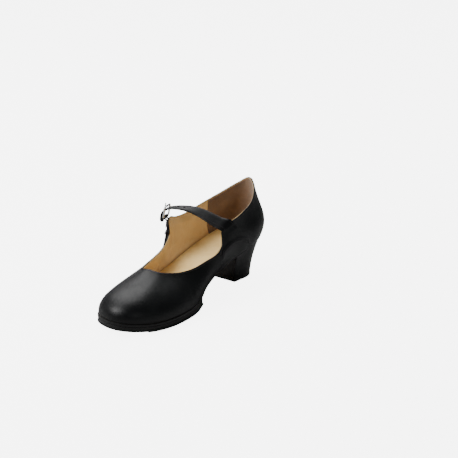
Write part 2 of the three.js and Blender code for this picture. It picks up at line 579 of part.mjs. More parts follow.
/** The end of the strap: it goes through the ring, over the bar, and has a slot for the prong. */
const tipTrim = (s) => Math.sqrt(max(0.08, 1 - max(0, (s - 0.955) / 0.047) ** 2));
const slot = new THREE.BoxGeometry(2 * PRONG_WIRE + 1, 8.4, 8);
slot.applyMatrix4(buckleFrame.clone().setPosition(prongPoint(2, 4.4)));
add('strap_tip', cut(slab(16, 2, (i, j, side) => {
  const s = mix(STRAP_SPLIT + 0.004, 1, i / 16);
  return strapPoint(s, j - 1, side, tipTrim(s));
}), slot), 'black_leather');

// tab: a strip sewn to the outside of the outer ear, that goes up and round the bar
const EAR = 20.3;       // station of the tab
const TAIL_AT = 2.5;    // its mid-plane, from the last
const tabInner = RING.wire + 0.3 + TAB.thick / 2;
const tail = range(4).map((i) => skin(EAR, 0.78 + 0.16 * i / 3, TAIL_AT));
const tabPath = [
  ...tail, prongPoint(0.35, -2.1),
  ...range(9).map((i) => {
    const a = rad(-25 + 29 * i);
    return prongPoint(tabInner * cos(a), tabInner * sin(a));
  }),
];
const earAxis = skin(EAR - 0.1, 1, 0).sub(skin(EAR + 0.1, 1, 0)).normalize();
const tabStrip = slab(tabPath.length - 1, 2, (i, j, side) => {
  const t = tabPath[min(i + 1, tabPath.length - 1)].clone().sub(tabPath[max(i - 1, 0)]).normalize();
  // the tab lies flat on the ear, and turns until it is square to the bar
  const across = earAxis.clone().lerp(barAxis, clamp01((i - 1) / 3)).normalize();
  const n = across.clone().cross(t).normalize();
  return tabPath[i].clone().addScaledVector(across, (j - 1) * TAB.width / 2)
    .addScaledVector(n, (side - 0.5) * TAB.thick);
});
const eyeRoom = new THREE.BoxGeometry(2 * PRONG_WIRE + 0.9, 8, 7)
  .applyMatrix4(buckleFrame.clone().setPosition(prongPoint(0.4, 0.8)));
add('buckle_tab', cut(tabStrip, eyeRoom), 'black_leather');

// ---- centre the whole on its box, with the ground at z = 0 ----
const box = new THREE.Box3().setFromObject(shoe, true);
const centre = box.getCenter(new THREE.Vector3());
shoe.children.forEach((mesh) => mesh.position.set(-centre.x, -centre.y, -box.min.z));
export default shoe;
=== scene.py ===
# %% [markdown]
# # A flamenco shoe
# A right-foot dance shoe: black calf upper, natural leather lining, a stacked sole with small
# nails hammered into toe and heel, and a strap that closes with a wire buckle.
# The CAD parts give every place and size. This script gives each visible piece its fine
# surface: the same curves drawn finely, edges that are rounded, stitches, nails and finishes.

# %% The fixed frame
import math
import bmesh
import bpy
import numpy as np
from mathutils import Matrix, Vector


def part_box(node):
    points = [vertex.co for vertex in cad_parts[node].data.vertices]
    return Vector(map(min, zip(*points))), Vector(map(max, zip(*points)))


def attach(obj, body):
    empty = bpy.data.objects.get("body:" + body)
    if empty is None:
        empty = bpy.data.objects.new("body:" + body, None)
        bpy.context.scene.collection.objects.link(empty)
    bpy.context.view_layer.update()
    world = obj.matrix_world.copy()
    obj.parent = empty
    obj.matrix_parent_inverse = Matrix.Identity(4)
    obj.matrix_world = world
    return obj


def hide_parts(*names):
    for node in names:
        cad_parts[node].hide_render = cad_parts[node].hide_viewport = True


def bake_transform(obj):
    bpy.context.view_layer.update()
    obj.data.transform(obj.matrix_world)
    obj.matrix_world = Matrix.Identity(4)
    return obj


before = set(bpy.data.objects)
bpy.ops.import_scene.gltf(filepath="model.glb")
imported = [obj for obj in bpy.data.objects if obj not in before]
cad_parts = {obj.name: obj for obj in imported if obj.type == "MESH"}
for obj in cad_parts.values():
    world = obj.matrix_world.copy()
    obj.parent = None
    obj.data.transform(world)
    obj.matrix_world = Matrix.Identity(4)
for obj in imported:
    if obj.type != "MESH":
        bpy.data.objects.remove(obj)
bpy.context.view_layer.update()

# %% [markdown]
# ## Millimetres of the shoemaker, metres of the scene
# The shoe is drawn as its maker draws it: millimetres, toe tip near y = 0, heel towards +y and
# the inner side at +x. The heel screw stands at x = 0, y = 212, so its box ties both together.

# %% From the drawing to the scene
SCREW_Y = 212
screw_low, screw_high = (np.array(corner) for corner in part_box("heel_screw"))
ORIGIN = (screw_low + screw_high) / 2 - np.array((0, SCREW_Y / 1000, 0))
ORIGIN[2] = 0


def place(points):
    """Drawing millimetres to scene metres."""
    return np.asarray(points, float) * 0.001 + ORIGIN


def linked(name, data):
    """A new object in the scene."""
    obj = bpy.data.objects.new(name, data)
    bpy.context.scene.collection.objects.link(obj)
    return obj


def aim(obj, x, y, z, where):
    """Stands obj at where, with its own axes along x, y and z."""
    matrix = np.identity(4)
    matrix[:3] = np.column_stack((x, y, z, where))
    obj.matrix_world = matrix.T.tolist()


print("the drawing's origin lies at", ORIGIN.round(4), "m")

# %% [markdown]
# ## The camera and the studio
# A soft white studio: a large lamp up and in front for the reflection on the toe, a larger one
# overhead for the sheen along the vamp, and a weak one at the side. Floor and backdrop are white
# to the camera, but light the black leather little. The camera has a long lens.

# %% Camera
AZIMUTH, ELEVATION, ROLL = math.radians(36.92), math.radians(19.22), math.radians(1.62)
DISTANCE, LENS = 2.049, 156.9
camera = linked("camera", bpy.data.cameras.new("camera"))
bpy.context.scene.camera = camera
back = np.array((math.sin(AZIMUTH) * math.cos(ELEVATION), -math.cos(AZIMUTH) * math.cos(ELEVATION),
                 math.sin(ELEVATION)))
level = np.array((math.cos(AZIMUTH), math.sin(AZIMUTH), 0))
upright = np.cross(back, level)
right = level * math.cos(ROLL) + upright * math.sin(ROLL)
upward = upright * math.cos(ROLL) - level * math.sin(ROLL)
TARGET = place((27.51, 150.29, 66.62))
eye = TARGET + back * DISTANCE
aim(camera, right, upward, back, eye)
camera.data.lens = LENS
camera.data.sensor_width = 36
camera.data.shift_x, camera.data.shift_y = 0.0274, 0.0181
camera.data.clip_start = 0.05
print("camera at", eye.round(3))

# %% [markdown]
# Colours are written as sRGB hex values, as on a colour card, and turned to linear light here.
# One small function adds any shader or geometry node with its settings and its links.

# %% Colour and node helpers
def linear(hex_value, alpha=1.0):
    """An sRGB hex colour as linear RGBA."""
    channels = [int(hex_value[i:i + 2], 16) / 255 for i in (1, 3, 5)]
    return tuple(c / 12.92 if c <= 0.04045 else ((c + 0.055) / 1.055) ** 2.4 for c in channels) + (alpha,)


def node(tree, kind, settings=None, **inputs):
    """Adds a node. settings are its properties; inputs are values, or sockets to link from."""
    made = tree.nodes.new(kind)
    for key, value in (settings or {}).items():
        setattr(made, key, value)
    for key, value in inputs.items():
        socket = made.inputs[int(key[1:])] if key[0] == "_" else made.inputs[key.replace("_", " ")]
        if isinstance(value, bpy.types.Node):
            value = value.outputs[0]               # a node stands for its first output
        if isinstance(value, bpy.types.NodeSocket):
            tree.links.new(value, socket)
        else:
            socket.default_value = value
    return made


def calc(tree, operation, *values):
    inputs = {f"_{i}": value for i, value in enumerate(values)}
    return node(tree, "ShaderNodeMath", {"operation": operation}, **inputs)


def remap(tree, value, low, high, out_low=0.0, out_high=1.0):
    return node(tree, "ShaderNodeMapRange", Value=value, From_Min=low, From_Max=high, To_Min=out_low,
                To_Max=out_high)


def blend_colours(tree, factor, first, second):
    return node(tree, "ShaderNodeMix", {"data_type": "RGBA"}, Factor=factor, _6=first, _7=second).outputs[2]


def blank_material(name):
    material = bpy.data.materials.new(name)
    material.use_nodes = True
    material.node_tree.nodes.clear()
    return material, material.node_tree


def surface(tree, height, depth, **inputs):
    """Ends a material: a principled shader whose bump comes from height."""
    bump = node(tree, "ShaderNodeBump", Strength=depth, Distance=0.0002, Height=height)
    shader = node(tree, "ShaderNodeBsdfPrincipled", Normal=bump, **inputs)
    node(tree, "ShaderNodeOutputMaterial", Surface=shader)


MM = 1000  # a pattern with features of 1 mm has this scale on Object coordinates
print("0.5 mm grain has scale", MM / 0.5)

# %% Studio
world = bpy.data.worlds.new("studio")
bpy.context.scene.world = world
world.use_nodes = True
world.node_tree.nodes["Background"].inputs[0].default_value = linear("#F3F5F8")
# the backdrop looks white to the camera, and lights the black leather only a little
looked_at = node(world.node_tree, "ShaderNodeLightPath").outputs["Is Camera Ray"]
strength = calc(world.node_tree, "MULTIPLY_ADD", looked_at, 6.0, 0.2)
world.node_tree.links.new(strength.outputs[0], world.node_tree.nodes["Background"].inputs[1])


def lamp(name, where, watts, size):
    """A square soft lamp that faces the shoe."""
    data = bpy.data.lights.new(name, "AREA")
    data.energy, data.size = watts, size
    made = linked(name, data)
    z = np.array(where, float)
    made.location = where
    z /= np.linalg.norm(z)
    x = np.cross((0, 0, 1), z)
    x /= np.linalg.norm(x)
    aim(made, x, np.cross(z, x), z, where)


lamp("key_lamp", (-0.55, -0.75, 1.0), 26, 0.8)
lamp("side_lamp", (1.2, -0.3, 0.55), 1.2, 0.5)
lamp("top_lamp", (-0.6, 0.55, 1.1), 17, 1.1)

paper, tree = blank_material("pale_paper_floor")
seen = node(tree, "ShaderNodeLightPath").outputs["Is Camera Ray"]
glow = calc(tree, "MULTIPLY", seen, 6.0)
shader = node(tree, "ShaderNodeBsdfPrincipled", Base_Color=linear("#A2A2A1"), Roughness=0.9,
              Emission_Color=linear("#FFFFFF"), Emission_Strength=glow)
node(tree, "ShaderNodeOutputMaterial", Surface=shader)
floor_mesh = bpy.data.meshes.new("floor")
floor_mesh.from_pydata([(-4, -4, 0), (4, -4, 0), (4, 4, 0), (-4, 4, 0)], [], [(0, 1, 2, 3)])
floor_mesh.materials.append(paper)
floor = linked("floor", floor_mesh)
print("three lamps and a floor")

# %% [markdown]
# ## Finishes
# Most of the shoe is leather. Leather is never one flat colour: it has a fine grain of small
# cells, and its tone and gloss drift slowly over a few centimetres. This one recipe gives all
# of that from two noises and a cell pattern; the finishes below only differ in its numbers.

# %% The leather recipe
def leather(name, tone, drift, gloss, grain_mm, depth, coat=0.0, edge=None, sheen=0.0, shine=0.4):
    """tone and drift: two colours; gloss: two roughnesses; edge: (attribute, colour, roughness)."""
    material, tree = blank_material(name)
    where = node(tree, "ShaderNodeTexCoord").outputs["Object"]
    slow = node(tree, "ShaderNodeTexNoise", Vector=where, Scale=MM / 24, Detail=4.0)
    mid = node(tree, "ShaderNodeTexNoise", Vector=where, Scale=MM / 5, Detail=5.0, Roughness=0.6)
    cells = node(tree, "ShaderNodeTexVoronoi", {"feature": "DISTANCE_TO_EDGE"}, Vector=where,
                 Scale=MM / grain_mm)
    fine = node(tree, "ShaderNodeTexNoise", Vector=where, Scale=MM / grain_mm * 0.7, Detail=3.0)
    patch = calc(tree, "MULTIPLY_ADD", mid, 0.5, slow)
    colour = blend_colours(tree, remap(tree, patch, 0.5, 1.0), linear(tone), linear(drift))
    rough = remap(tree, patch, 0.5, 1.0, *gloss)
    if edge:
        amount = node(tree, "ShaderNodeAttribute", {"attribute_name": edge[0]}).outputs["Fac"]
        colour = blend_colours(tree, amount, colour, linear(edge[1]))
        rough = node(tree, "ShaderNodeMix", Factor=amount, _2=rough, _3=edge[2])
    surface(tree, calc(tree, "ADD", remap(tree, cells, 0.0, 0.12), fine), depth, Base_Color=colour,
            Roughness=rough, IOR=1.5, Specular_IOR_Level=shine, Coat_Weight=coat, Coat_Roughness=0.28,
            Sheen_Weight=sheen, Sheen_Roughness=0.45)
    return material


FINISH = {
    # boarded calf, dyed through and polished: a soft gloss over a grain of about half a millimetre
    "calf": leather("black_polished_calf", "#050506", "#0A0B0C", (0.33, 0.46), 0.55, 0.16, coat=0.04,
                    shine=0.19),
    # cut and inked edge, burnished with wax
    "edge": leather("black_inked_edge", "#070708", "#0E0E0E", (0.34, 0.5), 0.9, 0.22, shine=0.3),
    # undyed lining calf: matt, with a paler cut edge at the top
    "lining": leather("natural_lining_calf", "#DDBF8C", "#EACFA2", (0.6, 0.75), 0.6, 0.25, shine=0.25,
                      edge=("cut_edge_and_sheen", "#CDB07C", 0.8)),
    # brown split suede, napped: no gloss, and a soft bright rim painted along its top edge: a painted sheen
    # where the nap is seen from the side
    "suede": leather("brown_split_suede", "#7D6350", "#957A64", (0.92, 1.0), 0.35, 0.7, sheen=0.3, shine=0.15,
                     edge=("cut_edge_and_sheen", "#B39A78", 0.8)),
    "sock": leather("natural_sock_calf", "#DDB974", "#EACC8C", (0.55, 0.68), 0.8, 0.16, shine=0.25),
    # bark-tanned sole leather, sanded and waxed, with black ink on its sides
    "waist": leather("waxed_sole_leather", "#C5A97C", "#D6BE93", (0.42, 0.55), 1.2, 0.2,
                     edge=("ink", "#080808", 0.4), shine=0.3),
    "toe": leather("sanded_sole_leather", "#D2AC72", "#E2C390", (0.6, 0.75), 1.0, 0.3,
                   edge=("ink", "#080808", 0.45), shine=0.3),
    "breast": leather("dark_stained_leather", "#100B09", "#1B130F", (0.4, 0.55), 0.8, 0.2, shine=0.3),
    "board": leather("pressed_fibre_board", "#A98F68", "#C2AA82", (0.85, 0.95), 0.4, 0.5),
    "cork": leather("granulated_cork", "#7E5A36", "#B08654", (0.85, 0.95), 2.2, 0.9),
}
print("leather finishes:", ", ".join(m.name for m in FINISH.values()))

# %% [markdown]
# Metals: the buckle is bent from nickel-plated wire and polished; the nails are plated too, but
# their heads are hammered and scuffed by the floor; the shank and screws are plain steel.
# Scratches are stretched noise in the roughness, which is what makes metal read as used metal.

# %% Metal, rubber, wood and thread
def metal(name, tone, gloss, scratch_mm, depth):
    material, tree = blank_material(name)
    where = node(tree, "ShaderNodeTexCoord").outputs["Object"]
    stretch = node(tree, "ShaderNodeMapping", Vector=where, Scale=(1.0, 0.25, 1.0))
    marks = node(tree, "ShaderNodeTexNoise", Vector=stretch, Scale=MM / scratch_mm, Detail=6.0,
                 Roughness=0.7)
    rough = remap(tree, marks, 0.35, 0.7, *gloss)
    surface(tree, marks, depth, Base_Color=linear(tone), Metallic=1.0, Roughness=rough)
    return material


def plain(name, tone, drift, gloss, noise_mm, depth, stretch=(1, 1, 1), edge=None):
    """Rubber, wood or thread: a stretched noise in colour and height."""
    material, tree = blank_material(name)
    where = node(tree, "ShaderNodeTexCoord").outputs["Object"]
    turned = node(tree, "ShaderNodeMapping", Vector=where, Scale=stretch)
    noise = node(tree, "ShaderNodeTexNoise", Vector=turned, Scale=MM / noise_mm, Detail=6.0)
    colour = blend_colours(tree, remap(tree, noise, 0.35, 0.65), linear(tone), linear(drift))
    if edge:
        amount = node(tree, "ShaderNodeAttribute", {"attribute_name": edge[0]}).outputs["Fac"]
        colour = blend_colours(tree, amount, colour, linear(edge[1]))
    surface(tree, noise, depth, Base_Color=colour, Roughness=gloss)
    return material


FINISH.update({
    "nickel": metal("polished_nickel_plate", "#D8DADB", (0.12, 0.3), 3.0, 0.05),
    "nail": metal("scuffed_nail_steel", "#B9BBBD", (0.25, 0.5), 1.2, 0.35),
    "steel": metal("plain_mild_steel", "#8F9296", (0.35, 0.55), 2.0, 0.1),
    # moulded amber rubber, with black dressing on its sides
    "rubber": plain("amber_moulded_rubber", "#B67C40", "#C88E50", 0.6, 1.6, 0.2, edge=("ink", "#080808")),
    "wood": plain("turned_beech", "#BE9A6C", "#D3B488", 0.6, 1.0, 0.2, stretch=(1, 1, 0.08)),
    "thread": plain("waxed_black_thread", "#131313", "#242424", 0.55, 0.3, 0.4),
    "tan_thread": plain("waxed_tan_thread", "#8E6A42", "#B08A5A", 0.6, 0.3, 0.4),
})
print("other finishes:", ", ".join(list(FINISH)[-7:]))

# %% [markdown]
# ## The last
# A shoe is built on a last, a solid foot shape. Here it is a ring of stations round the shoe.
# Each station is one upright curve: it starts at the feather, where the upper is tucked under,
# and ends at the edge of the opening. Smooth curves through the stations fill in the rest, so
# a few dozen lines of numbers shape the whole upper, the lining and the soles.

# %% Stations of the last
# foot x, y | opening edge x, y, z | outward lean, inward roll (degrees) | reach low, high
STATIONS = np.array([
    (13, 2, 2, 73.5, 46, 8, 66, 24, 26), (30, 9.5, 11, 76, 44.5, 9, 66, 24, 24),
    (40, 31, 17.5, 86, 42.5, 11, 58, 20, 20), (44.3, 62, 23, 99, 41.5, 12, 46, 16, 14),
    (42, 92, 27, 115, 42.8, 10, 26, 12, 12), (36, 115, 29.3, 132, 46.5, 12, 10, 12, 10),
    (30, 134, 31, 146, 50, 20, 2, 12, 10), (27.3, 150, 30.8, 155, 57, 24, 8, 16, 14),
    (26.3, 160, 28.5, 158, 67, 24, 16, 20, 16), (26, 170, 27, 165.5, 76, 22, 18, 22, 18),
    (26, 183, 27.4, 175.5, 78.3, 20, 14, 22, 16), (26.4, 201, 25.5, 192, 80.3, 20, 12, 22, 18),
    (25.2, 222, 20, 218.5, 86.5, 23, 16, 24, 22), (17.8, 238, 11, 235.5, 96, 22, 16, 26, 24),
    (0, 245.3, 0, 241.8, 104, 15, 12, 24, 26), (-17.8, 238, -11, 235.5, 97, 20, 16, 26, 24),
    (-25.4, 222, -20.5, 219, 88, 21, 16, 24, 22), (-26.8, 201, -27, 196, 80.5, 18, 12, 22, 18),
    (-26.6, 182, -29, 170, 75.5, 20, 10, 20, 16), (-26.8, 165, -30.2, 156, 75, 20, 8, 22, 16),
    (-27.6, 151, -30.4, 147, 77, 20, 8, 22, 16), (-29, 139, -29.2, 142.5, 73, 18, 8, 20, 16),
    (-31, 127, -27.6, 142, 60, 16, 6, 16, 12), (-34, 111, -25.6, 130, 48.5, 12, 14, 12, 12),
    (-35.6, 90, -22.3, 113, 44, 10, 30, 14, 14), (-33, 64, -17, 93.5, 42.5, 9, 50, 16, 16),
    (-24.5, 34, -11, 80.5, 43, 8, 60, 18, 20), (-10, 11, -5, 74.5, 44.5, 7, 66, 22, 24),
], float)
COUNT = len(STATIONS)
BACK = 14                                # station of the centre back
CORNER_INNER, CORNER_OUTER = 6, 22       # where the opening turns up to the ears
FEATHER_Z = np.array([(0, 15), (15, 12.6), (30, 10.6), (50, 9.2), (72, 8.8), (92, 9.2), (108, 11),
                      (122, 15), (138, 20.8), (155, 27.3), (170, 32), (187, 36), (245, 46.5)])
TREAD_Z = np.array([(0, 6), (14, 4), (30, 1.8), (50, 0.4), (72, 0), (95, 0), (110, 0.5), (124, 2.2)])


def smooth(table, x):
    """A cubic through the table's points, with averaged slopes."""
    table = np.asarray(table, float)
    xs, ys = table.T
    slopes = np.gradient(ys) / np.gradient(xs)
    slopes[0], slopes[-1] = (ys[1] - ys[0]) / (xs[1] - xs[0]), (ys[-1] - ys[-2]) / (xs[-1] - xs[-2])
    x = np.clip(x, xs[0], xs[-1])
    i = np.clip(np.searchsorted(xs, x, side="left") - 1, 0, len(xs) - 2)
    h = xs[i + 1] - xs[i]
    t = (x - xs[i]) / h
    return ((2 * t**3 - 3 * t**2 + 1) * ys[i] + (t**3 - 2 * t**2 + t) * h * slopes[i]
            + (3 * t**2 - 2 * t**3) * ys[i + 1] + (t**3 - t**2) * h * slopes[i + 1])


def spline(t, a, b, c, d):
    """Catmull-Rom: from b to c as t goes from 0 to 1."""
    return 0.5 * (2 * b + (c - a) * t + (2 * a - 5 * b + 4 * c - d) * t**2 + (3 * b - a - 3 * c + d) * t**3)


def station(u):
    """The station numbers at any place round the shoe: a closed Catmull-Rom spline."""
    u = np.asarray(u, float)
    i = np.floor(u).astype(int)
    t = (u - i)[..., None]
    return spline(t, *(STATIONS[(i + k) % COUNT] for k in (-1, 0, 1, 2)))


def unit(vectors):
    return vectors / np.maximum(np.linalg.norm(vectors, axis=-1, keepdims=True), 1e-9)


def foot_normal(u):
    step = station(u + 0.01)[..., :2] - station(u - 0.01)[..., :2]
    return unit(np.stack((step[..., 1], -step[..., 0]), -1))


def tilted(level_way, reach, angle):
    """A step of length reach that leans by angle from upright, towards level_way."""
    reach, angle = reach[..., None], angle[..., None]
    return np.concatenate((level_way * (reach * np.sin(angle)), reach * np.cos(angle)), -1)


def last_point(u, v):
    """A point of the last: station u, height v from 0 at the feather to 1 at the opening."""
    u, v = np.broadcast_arrays(np.asarray(u, float), np.asarray(v, float))
    s, n = station(u), foot_normal(u)
    foot = np.concatenate((s[..., :2], smooth(FEATHER_Z, s[..., 1])[..., None]), -1)
    top = s[..., 2:5]
    lean, roll = np.radians(s[..., 5]), np.radians(s[..., 6])
    low, high = s[..., 7], s[..., 8]
    inwards = unit(top[..., :2] - foot[..., :2] - 6 * n)
    p1 = foot + tilted(n, low, lean)
    p2 = top - tilted(inwards, high, roll)
    v = v[..., None]
    return (1 - v)**3 * foot + 3 * (1 - v)**2 * v * p1 + 3 * (1 - v) * v**2 * p2 + v**3 * top


def skin(u, v, offset):
    """The same point moved out from the last by offset."""
    u, v, offset = np.broadcast_arrays(*(np.asarray(a, float) for a in (u, v, offset)))
    e = 0.02
    du = last_point(u + e, v) - last_point(u - e, v)
    dv = last_point(u, np.minimum(1, v + e)) - last_point(u, np.maximum(0, v - e))
    normal = unit(np.cross(du, dv))
    normal[..., 2] *= np.clip(v / 0.08, 0, 1)
    return last_point(u, v) + unit(normal) * offset[..., None]


print("the back of the opening is at z =", last_point(BACK, 1.0)[2], "mm")

# %% [markdown]
# ## From points to pieces
# A strip of leather is drawn as many closed cross-sections, one beside the other: up the outer
# face, over a rounded edge, down the inner face and round the foot. Joining each section to the
# next gives a closed, even mesh with real thickness. `settle` then says which body it rides on.

# %% Mesh helpers
def band(sections, points, closed=False):
    """Quads between closed sections of equal length."""
    rows = range(sections if closed else sections - 1)
    return [(i * points + j, i * points + (j + 1) % points,
             (i + 1) % sections * points + (j + 1) % points, (i + 1) % sections * points + j)
            for i in rows for j in range(points)]


def solid_band(n, k):
    """A band with a flat face over each end."""
    return band(n, k) + [tuple(range(k)), tuple(range((n - 1) * k, n * k))]


def sheet_band(n, k):
    """A band of n sections that each have an upper and a lower face of k points, with closed ends."""
    ends = [[(f + j, f + j + 1, f + 2 * k - 2 - j, f + 2 * k - 1 - j) for j in range(k - 1)]
            for f in (0, (n - 1) * 2 * k)]
    return band(n, 2 * k) + ends[0] + ends[1]


def settle(obj, body, stands_for=()):
    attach(obj, body)
    if stands_for:
        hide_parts(*stands_for)
    return obj


def make(name, points, faces, finish, values=None, cuts=(), sharp=38):
    """A closed mesh piece from drawing points. cuts: (y, +1 or -1), what lies past y is cut off."""
    mesh = bpy.data.meshes.new(name)
    mesh.from_pydata(place(np.asarray(points).reshape(-1, 3)).tolist(), [], faces)
    for key, value in (values or {}).items():
        attribute = mesh.attributes.new(key, "FLOAT", "POINT")
        attribute.data.foreach_set("value", np.ravel(value).astype(np.float32))
    bm = bmesh.new()
    bm.from_mesh(mesh)
    bmesh.ops.remove_doubles(bm, verts=bm.verts, dist=1e-6)
    for y, side in cuts:
        everything = bm.verts[:] + bm.edges[:] + bm.faces[:]
        result = bmesh.ops.bisect_plane(bm, geom=everything, dist=1e-7, plane_co=place((0, y, 0)),
                                        plane_no=(0, side, 0), clear_outer=True)
        rim = [e for e in result["geom_cut"] if isinstance(e, bmesh.types.BMEdge)]
        bmesh.ops.edgeloop_fill(bm, edges=rim)
    bmesh.ops.recalc_face_normals(bm, faces=bm.faces)
    bm.to_mesh(mesh)
    bm.free()
    mesh.polygons.foreach_set("use_smooth", [True] * len(mesh.polygons))
    mesh.set_sharp_from_angle(angle=math.radians(sharp))
    mesh.materials.append(FINISH[finish])
    print(f"{name}: {len(mesh.polygons)} faces")
    return linked(name, mesh)


TURN = np.radians((30, 60, 90, 120, 150))   # the rounding of a cut edge


def wall(us, low, high, middle, half, rows):
    """Sections of an upright strip: between heights low and high, its mid-plane middle(u, v, rise)."""
    us = np.asarray(us, float)[:, None]
    low, high = (np.broadcast_to(np.asarray(a, float), us[:, 0].shape)[:, None] for a in (low, high))
    height = np.linalg.norm(last_point(us, high) - last_point(us, low), axis=-1)
    e = half / np.maximum(height, 4 * half)
    run = np.linspace(0, 1, rows)
    f = np.concatenate((run, np.ones(len(TURN)), run[::-1], np.zeros(len(TURN))))
    side = np.concatenate((np.ones(rows), np.cos(TURN), -np.ones(rows), -np.cos(TURN)))
    past = np.concatenate((np.zeros(rows), np.sin(TURN), np.zeros(rows), -np.sin(TURN)))
    v = low + (high - low) * (e + f * (1 - 2 * e) + past * e)
    return skin(us, v, middle(us, v, (v - low) * height / np.maximum(high - low, 1e-6)) + half * side), v


def ladder(first, rows):
    """Closes one end of a wall: rungs between its two faces, and the two rounded corners."""
    turn = len(TURN)
    inner = [first + rows + turn + rows - 1 - k for k in range(rows)]
    rungs = [(first + k, first + k + 1, inner[k + 1], inner[k]) for k in range(rows - 1)]
    top = tuple(first + k for k in range(rows - 1, rows + turn + 1))
    foot = tuple(first + k for k in (0, *range(2 * rows + 2 * turn - 1, 2 * rows + turn - 2, -1)))
    return rungs + [top, foot]


def strip(name, us, low, high, middle, half, finish, rows=30, values=None):
    sections, v = wall(us, low, high, middle, half, rows)
    n, k = sections.shape[:2]
    faces = band(n, k) + ladder(0, rows) + ladder((n - 1) * k, rows)
    return make(name, sections, faces, finish, values and values(np.asarray(us)[:, None], v, sections))


print("helpers ready")

# %% [markdown]
# ## The upper
# The vamp is one piece of calf over toe and sides. Each quarter laps over it by a few
# millimetres, along a seam that drops from the corner of the opening and arches back to the
# heel. The lap is what one sees on a real shoe: a soft step, followed by two rows of stitches.

# %% Vamp and quarters
SEAM = np.array([(0, 1), (0.5, 0.86), (1, 0.7), (2, 0.56), (3, 0.47), (4, 0.4), (4.6, 0.33), (5.1, 0.18),
                 (5.35, 0.03)])
SEAM_END = 5.35
LAP = 0.045                              # how far, in height, the vamp runs on under a quarter
HALF = 0.55                              # half the thickness of calf at a folded edge


def past_corner(u):
    """Stations past the nearer corner of the opening, towards the heel."""
    return np.where(u > 8, np.where(u > BACK, CORNER_OUTER - u, u - CORNER_INNER),
                    np.maximum(u - CORNER_INNER, CORNER_OUTER - COUNT - u))


def ease(t):
    t = np.clip(t, 0, 1)
    return t * t * (3 - 2 * t)


def vamp_top(u):
    d = past_corner(u)
    return np.where(d > 0, np.minimum(1, smooth(SEAM, np.maximum(d, 0)) + LAP * ease(d / 0.6)), 1.0)


def flex(u, v):
    """Shallow folds across the vamp where the toes bend, in millimetres."""
    y = last_point(u, v)[..., 1]
    fold = np.sin((y - 88) * 0.62 + 1.4 * np.sin(u * 1.3)) * np.exp(-((y - 98) / 14)**2)
    return 0.10 * fold * np.clip(1 - abs(v - 0.35) / 0.4, 0, 1)


vamp_ends = (CORNER_OUTER - COUNT - SEAM_END, CORNER_INNER + SEAM_END)
vamp_us = np.linspace(*vamp_ends, 300)
vamp = strip("vamp_calf", vamp_us, 0, vamp_top(vamp_us), lambda u, v, rise: HALF + flex(u, v), HALF, "calf",
             rows=40)
settle(vamp, "shoe", ["vamp"])


def quarter(name, u0, u1, node_name):
    us = np.linspace(u0, u1, 130)
    d = past_corner(us)
    foot = np.where(d >= SEAM_END, 0, np.maximum(0, smooth(SEAM, np.clip(d, 0, SEAM_END)) - 0.005))
    foot = np.minimum(foot, 0.97)

    def middle(u, v, rise):
        lifted = ease((past_corner(u) - 0.02) / 0.3) * ease((SEAM_END - past_corner(u)) / 0.5)
        return HALF + 0.05 + (2 * HALF + 0.05) * lifted * (1 - ease(rise / 7))

    made = strip(name, us, foot, 1, middle, HALF, "calf", rows=34)
    return settle(made, "shoe", [node_name])


quarter("inner_quarter_calf", CORNER_INNER + 0.04, BACK - 0.004, "quarter_medial")
quarter("outer_quarter_calf", BACK + 0.004, CORNER_OUTER - 0.04, "quarter_lateral")

# %% [markdown]
# The back strip covers the seam between the quarters, from the heel seat to the top.

# %% Back strip
strip_us = np.linspace(BACK - 0.24, BACK + 0.24, 15)
back_strip = strip("back_strip_calf", strip_us, 0.015, 0.985,
                   lambda u, v, rise: 1.6 + 0.25 * (1 - ((u - BACK) / 0.26)**2), 0.35, "calf", rows=60)
settle(back_strip, "shoe", ["back_strip"])

# %% [markdown]
# ## Inside the shoe
# The lining follows the upper and ends level with it, so its pale cut edge shows as a thin
# line all round the opening. Round the heel it is suede, which grips the foot; there the rim is
# painted lighter than the suede, a painted sheen. Where the foot has pushed it, the lining has
# soft creases, drawn here as shallow valleys.

# %% Linings
RIM = 0.75                               # the lining's top edge shows this wide
# station at the top, drift down, width in stations, depth
CREASES = ((19.6, 0.9, 0.16, 0.45), (18.4, 0.5, 0.2, 0.25), (8.6, -0.6, 0.2, 0.35))


def crease(u, v):
    """Valleys in the lining, in millimetres: each runs from near the top down and forwards."""
    total = 0
    for top_u, drift, width, depth in CREASES:
        across = (u - top_u - drift * (1 - v)) / width
        total = total + depth * np.exp(-across**2) * np.clip((1 - v) * 4, 0, 1)
    return total


def lining_middle(u, v, rise):
    at = np.interp(v, (0, 0.8, 1), (-1.75, -1.75, -RIM / 2 - 0.04))
    return at - crease(u, v)


def rim_shows(u, v, sections):
    # the top rim: the lining's cut edge, and on the suede a painted sheen
    return {"cut_edge_and_sheen": ease((v - 0.972) / 0.02)}


def lining(name, u0, u1, finish, node_name):
    us = np.linspace(u0, u1, max(40, int((u1 - u0) * 14)))
    made = strip(name, us, 0, 1, lining_middle, RIM / 2 - 0.03, finish, rows=44, values=rim_shows)
    return settle(made, "shoe", [node_name])


GRIP = (11.3, 16.7)
for name, u0, u1, finish, slot, node_name in (
        ("front_lining", CORNER_OUTER - COUNT, CORNER_INNER, "lining", "lining_leather", "vamp_lining"),
        ("inner_lining", CORNER_INNER, GRIP[0], "lining", "lining_leather", "quarter_lining_medial"),
        ("outer_lining", GRIP[1], CORNER_OUTER, "lining", "lining_leather", "quarter_lining_lateral"),
        ("suede_heel_grip", *GRIP, "suede", "suede", "heel_grip")):
    lining(name, u0 + 0.01, u1 - 0.01, finish, node_name)

# %% [markdown]
# ## Plates: insole, outsole, platform and toe piece
# These are flat layers cut to one outline. A plate is drawn as rings: from a centre line out
# to the edge, down a rounded edge, and back to the centre line. A value named `ink` marks
# the sides, where the maker paints the cut leather black.

# %% The outline and the plate recipe
SOLE_EDGE, OUTSOLE, RUBBER, AIR = 1.9, 2.6, 2.5, 0.3


def sole_grow(y):
    return SOLE_EDGE + (-0.4 - SOLE_EDGE) * np.clip((y - 108) / 26, 0, 1)


